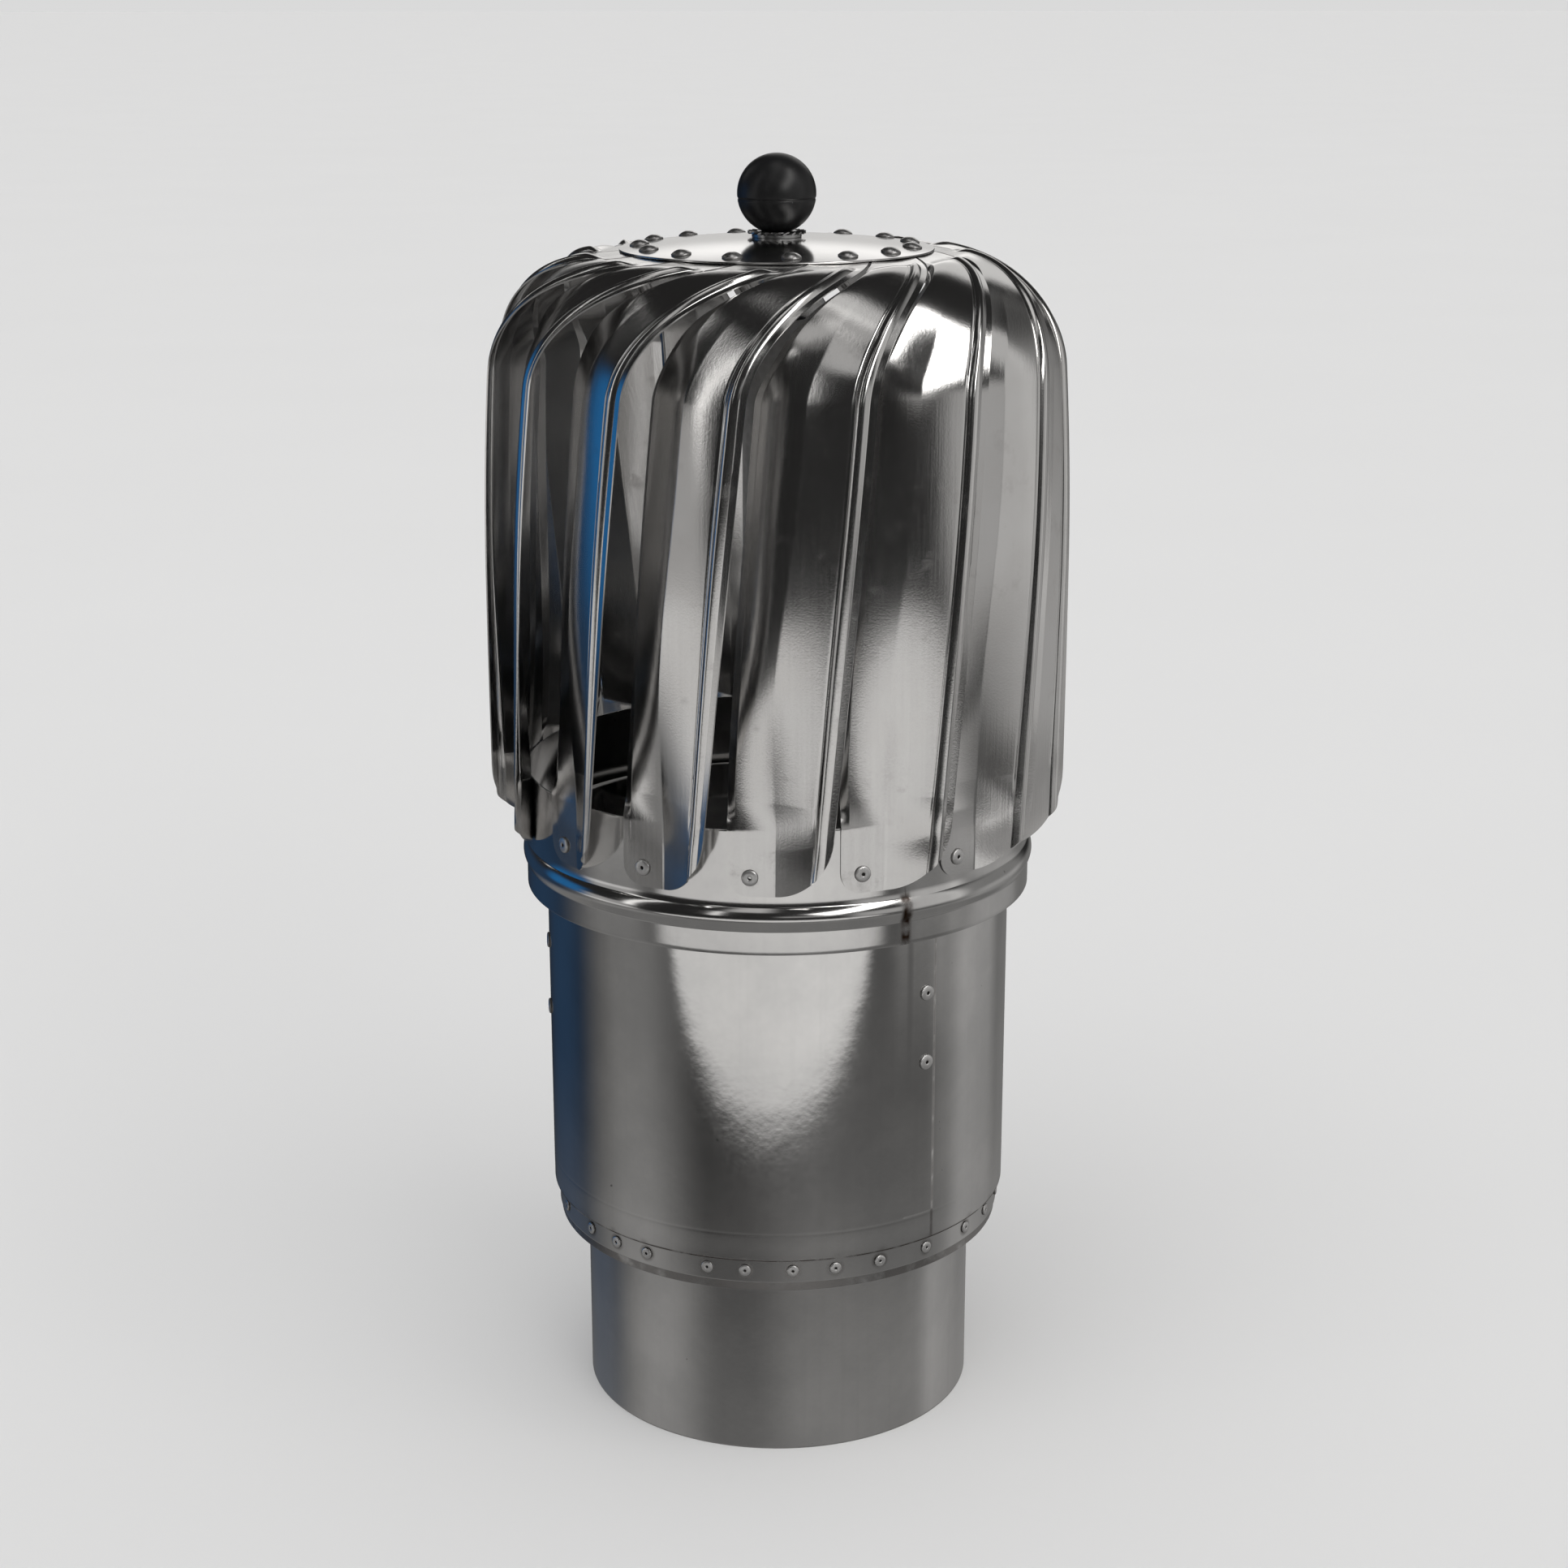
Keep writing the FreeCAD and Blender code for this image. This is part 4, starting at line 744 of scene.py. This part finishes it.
def shell_grime_and_shade(angle, radius, height):
    """Darker along the shell's bottom edge, brown smudges of dirt near the small rivets and painted shade
    along the lap seam.
    """
    edge = 1 - smooth((height - SHELL_BOTTOM - 0.3) / 0.9)
    near = min(abs(angle_gap(angle, rivet)) for rivet in BAND_RIVET_ANGLES)
    smudge = 0.35 * (1 - smooth((height - SHELL_BOTTOM) / 4.0)) * (1 - smooth(near / 2.0))
    # Painted shade: the lap seam's step is darkened in colour.
    seam = LAP_PAINTED_SHADE * (1 - smooth(abs(angle_gap(angle, LAP_ANGLE)) / 0.5))
    return max(edge, smudge, seam)


def band_grime_and_shade(angle, radius, height):
    """Brown rings of dirt around the small rivets, and painted shade on the band just under the shell's lower
    edge.
    """
    near = [math.hypot(math.radians(angle_gap(angle, rivet)) * BAND_RADIUS, height - BAND_RIVET_HEIGHT)
            for rivet in BAND_RIVET_ANGLES]
    ring = 1 - smooth((min(near) - 3.0) / 2.2)
    # Painted shade under the shell's overhanging lower edge.
    joint = smooth((height - 110.2) / 1.6)
    return max(0.55 * ring, joint)


def ring_grime(angle, radius, height):
    """A drip of brown stain on one side of the ring, with a thin tail above it."""
    aside = abs(angle_gap(angle, DRIP_ANGLE)) * math.radians(1.0) * RING_RADIUS
    ends = smooth((height - 272.0) / 6.0), 1 - smooth((height - 297.0) / 4.0)
    drip = (1 - smooth((aside - 1.5) / 2.2)) * ends[0] * ends[1]
    tail = (1 - smooth(aside / 0.8)) * (1 - smooth((height - 299.0) / 6.0))
    return max(drip, tail * 0.7)


def even_steps(first, last, step):
    """Points along a straight line, so that a mesh can be swelled, or darkened by dirt and painted shade,
    between its ends.
    """
    first, last = np.array(first, float), np.array(last, float)
    count = max(int(np.linalg.norm(last - first) / step), 1)
    return [tuple(first + (last - first) * k / count) for k in range(count)]


def build_shell(finish):
    """Wide tube; its lower edge turns in to the band under a fine crease."""
    bore, lower = BAND_RADIUS + LAP_GAP, SHELL_RADIUS - EDGE_DRAW
    inside_radius = SHELL_RADIUS - SHEET
    outside = [(bore, SHELL_BOTTOM), (bore + SHEET * 0.5, SHELL_BOTTOM - 0.04), (lower - 0.3, SHELL_BOTTOM),
               (lower, SHELL_BOTTOM + 0.25)]
    outside += [(SHELL_RADIUS - EDGE_DRAW * smooth((CREASE_LEVEL - level) / 12.0)
                 - CREASE_DEPTH * math.exp(-((level - CREASE_LEVEL) / 0.7) ** 2), level)
                for level in np.arange(112.6, 131.0, 0.35)]
    outside += even_steps((SHELL_RADIUS, 131.5), (SHELL_RADIUS, SHELL_TOP - 0.55), 6.0)
    outside += [(SHELL_RADIUS, SHELL_TOP - 0.35), (SHELL_RADIUS - 0.15, SHELL_TOP)]
    inside = [(inside_radius + 0.15, SHELL_TOP), (inside_radius, SHELL_TOP - 0.35), (inside_radius, 200.0),
              (inside_radius, 130.0), (bore, 119.0), (bore, 113.0)]
    return turned_sheet("shell_skin", outside + inside, finish, "base", ["outer_shell"],
                        900, lap_swell, shell_grime_and_shade)


def build_band(finish):
    """Narrow ring that carries the small rivets; the shell hides its upper half."""
    inner = BAND_RADIUS - SHEET
    outline = [(inner, BAND_BOTTOM), (inner + 0.2, BAND_BOTTOM), (BAND_RADIUS - 0.15, BAND_BOTTOM + 0.05),
               (BAND_RADIUS, BAND_BOTTOM + 0.25)]
    outline += even_steps((BAND_RADIUS, BAND_BOTTOM + 0.5), (BAND_RADIUS, SHELL_BOTTOM), 0.5)
    outline += [(BAND_RADIUS, SHELL_BOTTOM), (BAND_RADIUS, BAND_TOP - 0.2), (BAND_RADIUS - 0.2, BAND_TOP),
                (inner, BAND_TOP), (inner, BAND_TOP - 1.0), (inner, SHELL_BOTTOM)]
    return turned_sheet("rivet_band_skin", outline, finish, "base", ["rivet_band"],
                        1440, None, band_grime_and_shade)


def build_spigot(finish):
    """Lowest tube, flared out to the collar that the band is riveted to."""
    flare, step = FLARE_RADIUS, SPIGOT_HEIGHT + FLARE_RADIUS
    inner, rim = SPIGOT_RADIUS - SHEET, BAND_RADIUS - SHEET - LAP_GAP
    outline = [(inner, 0.2), (inner + 0.2, 0.0), (SPIGOT_RADIUS - 0.2, 0.0), (SPIGOT_RADIUS, 0.2)]
    outline += even_steps((SPIGOT_RADIUS, 0.8), (SPIGOT_RADIUS, SPIGOT_HEIGHT), 3.0)
    outline += arc_points((SPIGOT_RADIUS + flare, SPIGOT_HEIGHT), flare, math.pi, math.pi / 2, 14)
    outline += rounded([(SPIGOT_RADIUS + flare + 1.5, step), (rim, step), (rim, COLLAR_TOP),
                        (rim - SHEET, COLLAR_TOP), (rim - SHEET, step + SHEET),
                        (inner + flare + SHEET, step + SHEET)], 0.25)[3:-3]
    outline += arc_points((inner + flare + SHEET, SPIGOT_HEIGHT), flare + SHEET, math.pi / 2, math.pi, 12)
    outline += [(inner, 60.0), (inner, 30.0)]

    # Painted shadow under the band: the flange's top is darkened in colour.
    def grime_and_shade(angle, radius, height):
        return 0.5 * smooth((height - 93.5) / 1.5) * (radius > SPIGOT_RADIUS + 2)

    return turned_sheet("spigot_skin", outline, finish, "base", ["spigot_tube"],
                        360, None, grime_and_shade)


# ---- rotor --------------------------------------------------------------------------------
def bead_profile(offset, count):
    """Arc through the ring's foot, the bead's crest and the skirt's top."""
    a = np.array([RING_RADIUS - offset, BEAD_TOP])
    b = np.array([RING_RADIUS + BEAD_HEIGHT - offset, (BEAD_TOP + BEAD_BOTTOM) / 2])
    c = np.array([SKIRT_RADIUS - offset, BEAD_BOTTOM])
    sides = np.array([b - a, c - a]) * 2
    right = np.array([b @ b - a @ a, c @ c - a @ a])
    centre = np.linalg.solve(sides, right)
    radius = np.linalg.norm(a - centre)
    start = math.atan2(*(a - centre)[::-1])
    end = math.atan2(*(c - centre)[::-1])
    return arc_points(centre, radius, start, end, count)


def build_ring(finish):
    """Rotor ring with a rolled bead and a skirt over the shell."""
    inner_radius, bottom = RING_RADIUS - SHEET, SKIRT_BOTTOM
    outer = [(RING_RADIUS - 0.2, RING_TOP), (RING_RADIUS, RING_TOP - 0.2)]
    outer += even_steps((RING_RADIUS, RING_TOP - 1.0), (RING_RADIUS, BEAD_TOP + 1.0), 2.0)
    outer += bead_profile(0.0, 15)
    outer += even_steps((SKIRT_RADIUS, BEAD_BOTTOM - 1.0), (SKIRT_RADIUS, bottom + 0.6), 1.5)
    outer += [(SKIRT_RADIUS, bottom + 0.2), (SKIRT_RADIUS - 0.15, bottom),
              (SKIRT_RADIUS - SHEET + 0.15, bottom), (SKIRT_RADIUS - SHEET, bottom + 0.2)]
    inner = bead_profile(SHEET, 11)[::-1]
    inner += [(inner_radius, 316.0), (inner_radius, RING_TOP - 0.2), (inner_radius + 0.2, RING_TOP)]
    return turned_sheet("ring_skin", outer + inner, finish, "rotor", ["base_ring"],
                        1080, None, ring_grime)


def crown_height(radius, level):
    return EDGE.crown_z + math.sqrt((CROWN_RADIUS + level) ** 2 - radius ** 2)


DISC_LOW = VANE_SHEET / 2 + DISC_GAP
DISC_HIGH = DISC_LOW + SHEET


def build_disc(finish):
    """Shallow disc that lies on the vanes' inner ends."""
    top = [(r, crown_height(r, DISC_HIGH)) for r in np.linspace(4.2, DISC_RADIUS - 0.35, 60)]
    low, high = crown_height(DISC_RADIUS, DISC_LOW), crown_height(DISC_RADIUS, DISC_HIGH)
    edge = [(DISC_RADIUS - 0.1, high - 0.06), (DISC_RADIUS, (low + high) / 2),
            (DISC_RADIUS - 0.1, low + 0.06)]
    under = [(r, crown_height(r, DISC_LOW)) for r in np.linspace(DISC_RADIUS - 0.35, 4.2, 30)]
    return turned_sheet("disc_skin", (top + edge + under)[::-1], finish, "rotor",
                        ["top_disc"], 360)


def build_vanes(finish):
    """All vanes from one grid, each with its own slight waviness."""
    grid = vane_grid()
    rows, columns = grid.shape[:2]
    along = np.linspace(0, 1, rows)[:, None]
    across = np.linspace(0, 1, columns)[None, :]
    for index in range(VANE_COUNT):
        chance = np.random.default_rng(SEED + index)
        wave = np.zeros((rows, columns))
        for _ in range(6):
            up, side, start = chance.uniform(1.0, 5.0), chance.uniform(0.5, 3.0), chance.uniform(0, 6.28)
            wave += chance.uniform(0.03, 0.10) * np.sin(up * along * 6.28 + side * across * 3.14 + start)
        calm = np.clip(along / 0.15, 0, 1) * np.clip((1 - along) / 0.25, 0, 1) * np.sin(across * math.pi)
        shaped = grid + grid_normals(grid) * (wave * calm - 0.10 * calm)[:, :, None] * 1.2
        points, faces = sheet_mesh(shaped, VANE_SHEET)
        turn = math.radians(VANE_RIVET_ANGLE + PITCH * index)
        cos, sin = math.cos(turn), math.sin(turn)
        spin = np.array([[cos, -sin, 0], [sin, cos, 0], [0, 0, 1]])
        name = f"{index + 1:02d}"
        add_piece(f"vane_skin_{name}", points @ spin.T, faces, finish, "rotor",
                  [f"vane_{name}"], sharp=40)


def build_knob(finish):
    """Ball with a fine parting line a little below its middle and a flat seat."""
    low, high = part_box("ball_knob")
    centre = high.z / MM - KNOB_RADIUS
    bottom = low.z / MM
    seat = math.asin((bottom - centre) / KNOB_RADIUS)
    outline = [(0.0, bottom), (KNOB_RADIUS * math.cos(seat) - 0.3, bottom)]
    for t in np.linspace(seat + 0.02, math.pi / 2, 260):
        radius = KNOB_RADIUS - PARTING_DEPTH * math.exp(-((t + PARTING_BELOW) / 0.026) ** 2)
        outline.append((radius * math.cos(t), centre + radius * math.sin(t)))
    outline[-1] = (0.0, centre + KNOB_RADIUS)
    ball, faces = head_mesh(outline[1:], 128)
    add_piece("knob_skin", ball, faces, finish, "rotor", ["ball_knob"], sharp=60)


def cad_finish(names, finish):
    """Puts a finish on CAD pieces that stay as they are."""
    for name in names:
        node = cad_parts[name]
        node.data.materials.clear()
        node.data.materials.append(finish.material)


def rivet_places(radius, angles, heights):
    return [(polar(radius, angle, height), unit(angle)) for angle in angles for height in heights]


def disc_rivet_places():
    centre = np.array([0.0, 0.0, EDGE.crown_z])
    places = []
    for i in range(VANE_COUNT):
        angle = VANE_RIVET_ANGLE + DISC_RIVET_PAST + PITCH * i
        seat = polar(DISC_RIVET_CIRCLE, angle, crown_height(DISC_RIVET_CIRCLE, DISC_HIGH))
        outward = (seat - centre) / np.linalg.norm(seat - centre)
        places.append((seat, outward))
    return places


def arm_rivet_places():
    places = []
    for i in range(ARM_COUNT):
        lift = LAP_RISE if i == 0 else 0.0
        angle = ARM_RIVET_ANGLE + 360.0 / ARM_COUNT * i
        places += rivet_places(SHELL_RADIUS + lift + HEAD_GAP, [angle], ARM_RIVET_HEIGHTS)
    return places


def build_rivets(finish, dome_finish):
    vane_angles = [VANE_RIVET_ANGLE + PITCH * i for i in range(VANE_COUNT)]
    vane_places = rivet_places(TAB_LEVEL + VANE_SHEET / 2 + HEAD_GAP, vane_angles, [VANE_RIVET_HEIGHT])
    band_places = rivet_places(BAND_RADIUS + HEAD_GAP, BAND_RIVET_ANGLES, [BAND_RIVET_HEIGHT])
    large, small = blind_head(VANE_RIVET_HEAD, 2.0), blind_head(BAND_RIVET_HEAD, 1.6)
    blind = [("vane_rivet", large, vane_places, "rotor"), ("band_rivet", small, band_places, "base"),
             ("arm_rivet", large, arm_rivet_places(), "base")]
    for seed, (kind, head, places, body) in enumerate(blind, 3):
        set_rivets(f"{kind}_heads", head, places, finish, body, [f"{kind}s"], seed, True)
    set_rivets("disc_rivet_heads", dome_head(DISC_RIVET_HEAD), disc_rivet_places(), dome_finish, "rotor",
               ["disc_rivets"], 6, False)


# ---- studio -------------------------------------------------------------------------------
# What the bright metal sees around it. Each patch: centre (azimuth, elevation), half size and
# softness in degrees, turn of the patch in degrees, light. Azimuth 0 is the front, + to the right.
STUDIO_PATCHES = [
    ((50.0, 41.0), (38.0, 7.5), (4.0, 2.5), 37.0, 3.6),
    ((0.0, 85.0), (180.0, 7.0), (1.0, 4.0), 0.0, 0.60),
    ((-14.0, 56.0), (11.0, 20.0), (5.0, 5.0), 0.0, 0.42),
    ((15.0, 74.0), (30.0, 9.0), (8.0, 5.0), 0.0, 0.35),
    ((-27.0, 21.0), (2.2, 13.0), (1.5, 3.0), 0.0, 1.0),
    ((15.0, 9.0), (14.0, 4.0), (3.0, 3.0), 0.0, 0.26),
    ((75.0, 22.0), (15.0, 38.0), (5.0, 7.0), 0.0, 0.45),
    ((46.0, 0.0), (13.0, 12.0), (6.0, 5.0), 0.0, 0.36),
    ((112.0, 5.0), (26.0, 26.0), (8.0, 10.0), 0.0, 0.20),
    ((168.0, 24.0), (19.0, 13.0), (4.0, 4.0), 0.0, 0.62),
    ((182.0, 6.0), (11.0, 12.0), (4.0, 5.0), 0.0, 0.60),
    ((-67.0, 30.0), (2.6, 30.0), (1.2, 5.0), 0.0, 1.3),
    ((-128.0, 30.0), (2.0, 13.0), (1.0, 3.0), 0.0, 1.1),
    ((-78.0, -6.0), (13.0, 9.0), (5.0, 4.0), 0.0, 0.34),
    ((-80.0, -14.0), (16.0, 2.6), (4.0, 1.5), 0.0, 0.36),
    ((-76.0, -23.0), (24.0, 8.0), (20.0, 6.0), 0.0, 0.17),
    ((140.0, -18.0), (40.0, 12.0), (10.0, 6.0), 0.0, 0.15),
    ((60.0, -24.0), (60.0, 8.0), (20.0, 4.0), 0.0, 0.07),
    ((0.0, -60.0), (180.0, 33.0), (1.0, 6.0), 0.0, 0.15),
]
POOL_CENTRE = (-3.0, -18.0)
POOL_HALF = (52.0, 5.3)
POOL_TOP = 6.8
POOL_LIGHT = 0.62
BLUE_PATCHES = [
    ((-106.0, 1.0), (13.0, 13.0), (6.0, 7.0), 0.0, 0.27),
    ((-137.0, -12.0), (24.0, 16.0), (20.0, 10.0), 0.0, 0.06),
]
BLUE = (0.0, 0.36, 1.0)
DARK_ROOM = 0.018
PALE_ROOM = 0.70
FLOOR_HALF = 60.0


def patch_of_light(azimuth, elevation, centre, half, soft, turn):
    """Soft-edged patch of the studio seen in a direction; sizes in degrees."""
    aside = (azimuth - centre[0]).math("WRAP", 180.0, -180.0)
    above = elevation - centre[1]
    if turn:
        cos, sin = math.cos(math.radians(turn)), math.sin(math.radians(turn))
        aside, above = aside * cos + above * sin, above * cos - aside * sin
    inside_width = aside.abs().step(half[0] + soft[0], half[0] - soft[0])
    return inside_width * above.abs().step(half[1] + soft[1], half[1] - soft[1])


def build_world():
    """Studio around the object: a pale room to the eye, dark cloths and soft boxes in reflections."""
    world = bpy.data.worlds.new("studio")
    bpy.context.scene.world = world
    world.use_nodes = True
    tree = Tree(world.node_tree)
    direction = tree.node("ShaderNodeTexCoord", {}, {}, out=0)
    x, y, z = tree.split(direction)
    azimuth = x.math("ARCTAN2", y * -1.0) * math.degrees(1.0)
    elevation = z.math("ARCSINE") * math.degrees(1.0)
    across = (azimuth - POOL_CENTRE[0]) / POOL_HALF[0]
    above = elevation - POOL_CENTRE[1]
    upward = (above / POOL_TOP).most(above / -POOL_HALF[1])
    light = ((across * across + upward * upward) ** 0.5).step(1.05, 0.95) * POOL_LIGHT + DARK_ROOM
    for centre, half, soft, turn, strength in STUDIO_PATCHES:
        light = patch_of_light(azimuth, elevation, centre, half, soft, turn) * strength + light
    blue = 0.0
    for centre, half, soft, turn, strength in BLUE_PATCHES:
        blue = patch_of_light(azimuth, elevation, centre, half, soft, turn) * strength + blue
    white = tree.join(light, light * 0.985, light * 0.965)
    tinted = tree.node("ShaderNodeVectorMath", {"operation": "MULTIPLY_ADD"},
                       {0: tree.join(blue, blue, blue), 1: BLUE, 2: white})
    room = tree.node("ShaderNodeBackground", {}, {"Color": tinted, "Strength": 1.0})
    backdrop = tree.node("ShaderNodeBackground", {}, {"Color": grey(PALE_ROOM), "Strength": 1.0})
    to_eye = tree.node("ShaderNodeLightPath", {}, {}, out=0)
    on_matt = tree.node("ShaderNodeLightPath", {}, {}, out=2)
    both = tree.tree.nodes.new("ShaderNodeMixShader")
    output = tree.tree.nodes.new("ShaderNodeOutputWorld")
    for place, wire in enumerate((to_eye.most(on_matt), room, backdrop)):
        tree.tree.links.new(wire.socket, both.inputs[place])
    tree.tree.links.new(both.outputs[0], output.inputs[0])


def build_floor():
    """Plain pale floor, wide enough to reach the horizon; the metal doesn't mirror it."""
    mesh = bpy.data.meshes.new("floor")
    corners = [(x * FLOOR_HALF, y * FLOOR_HALF, 0) for x, y in ((-1, -1), (1, -1), (1, 1), (-1, 1))]
    mesh.from_pydata(corners, [], [(0, 1, 2, 3)])
    floor = bpy.data.objects.new("floor", mesh)
    bpy.context.collection.objects.link(floor)
    finish = Finish("pale_floor", Roughness=0.9)
    cloud = finish.noise(finish.place, 2.0, 2.0)
    finish.drive("Base Color", finish.mix(cloud, grey(0.78), grey(0.80)))
    mesh.materials.append(finish.material)
    floor.visible_glossy = False


def soft_sun():
    """Wide, soft light from above the front left; it makes the shadow on the floor."""
    data = bpy.data.lights.new("soft_sun", "SUN")
    data.energy = 0.6
    data.angle = math.radians(50.0)
    sun = bpy.data.objects.new("soft_sun", data)
    sun.rotation_euler = (math.radians(28.0), math.radians(-14.0), 0.0)
    sun.visible_glossy = False
    sun.visible_camera = False
    bpy.context.collection.objects.link(sun)


def build_all():
    make_camera()
    build_world()
    build_floor()
    soft_sun()
    bpy.context.scene.view_settings.view_transform = "Standard"
    sheet = bright_sheet("vane_bright")
    ring_sheet = satin_sheet("ring_satin", 0.80, 0.10)
    satin = satin_sheet("body_satin")
    polished = polished_disc()
    rivets = rivet_metal("rivet_bright", 0.94, 0.26)
    build_shell(satin)
    build_band(satin)
    build_spigot(satin)
    build_ring(ring_sheet)
    build_disc(polished)
    build_vanes(sheet)
    build_rivets(rivets, rivet_metal("rivet_dome", 0.95, 0.20))
    build_knob(knob_plastic())
    zinc = plated_steel("zinc_fixing", 0.55, 0.20)
    frame_steel = plated_steel("frame_zinc", 0.50, 0.34)
    spring = plated_steel("spring_dark", 0.12, 0.30)
    bearing = plated_steel("bearing_bright", 0.66, 0.10)
    names = list(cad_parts)
    cad_finish(["plain_washer", "lock_washer", "hub_spacer"], zinc)
    cad_finish([name for name in names if name.startswith("bracket_arm")], frame_steel)
    cad_finish(["bearing_housing", "housing_cap", "hub_plate"], frame_steel)
    cad_finish([name for name in names if name.endswith("circlip")], spring)
    cad_finish([name for name in names if name.endswith(("_race", "_balls"))] + ["rotor_shaft"], bearing)
    cad_finish([name for name in names if name.endswith("_cage")], brass_strip())


build_all()
bpy.context.view_layer.update()
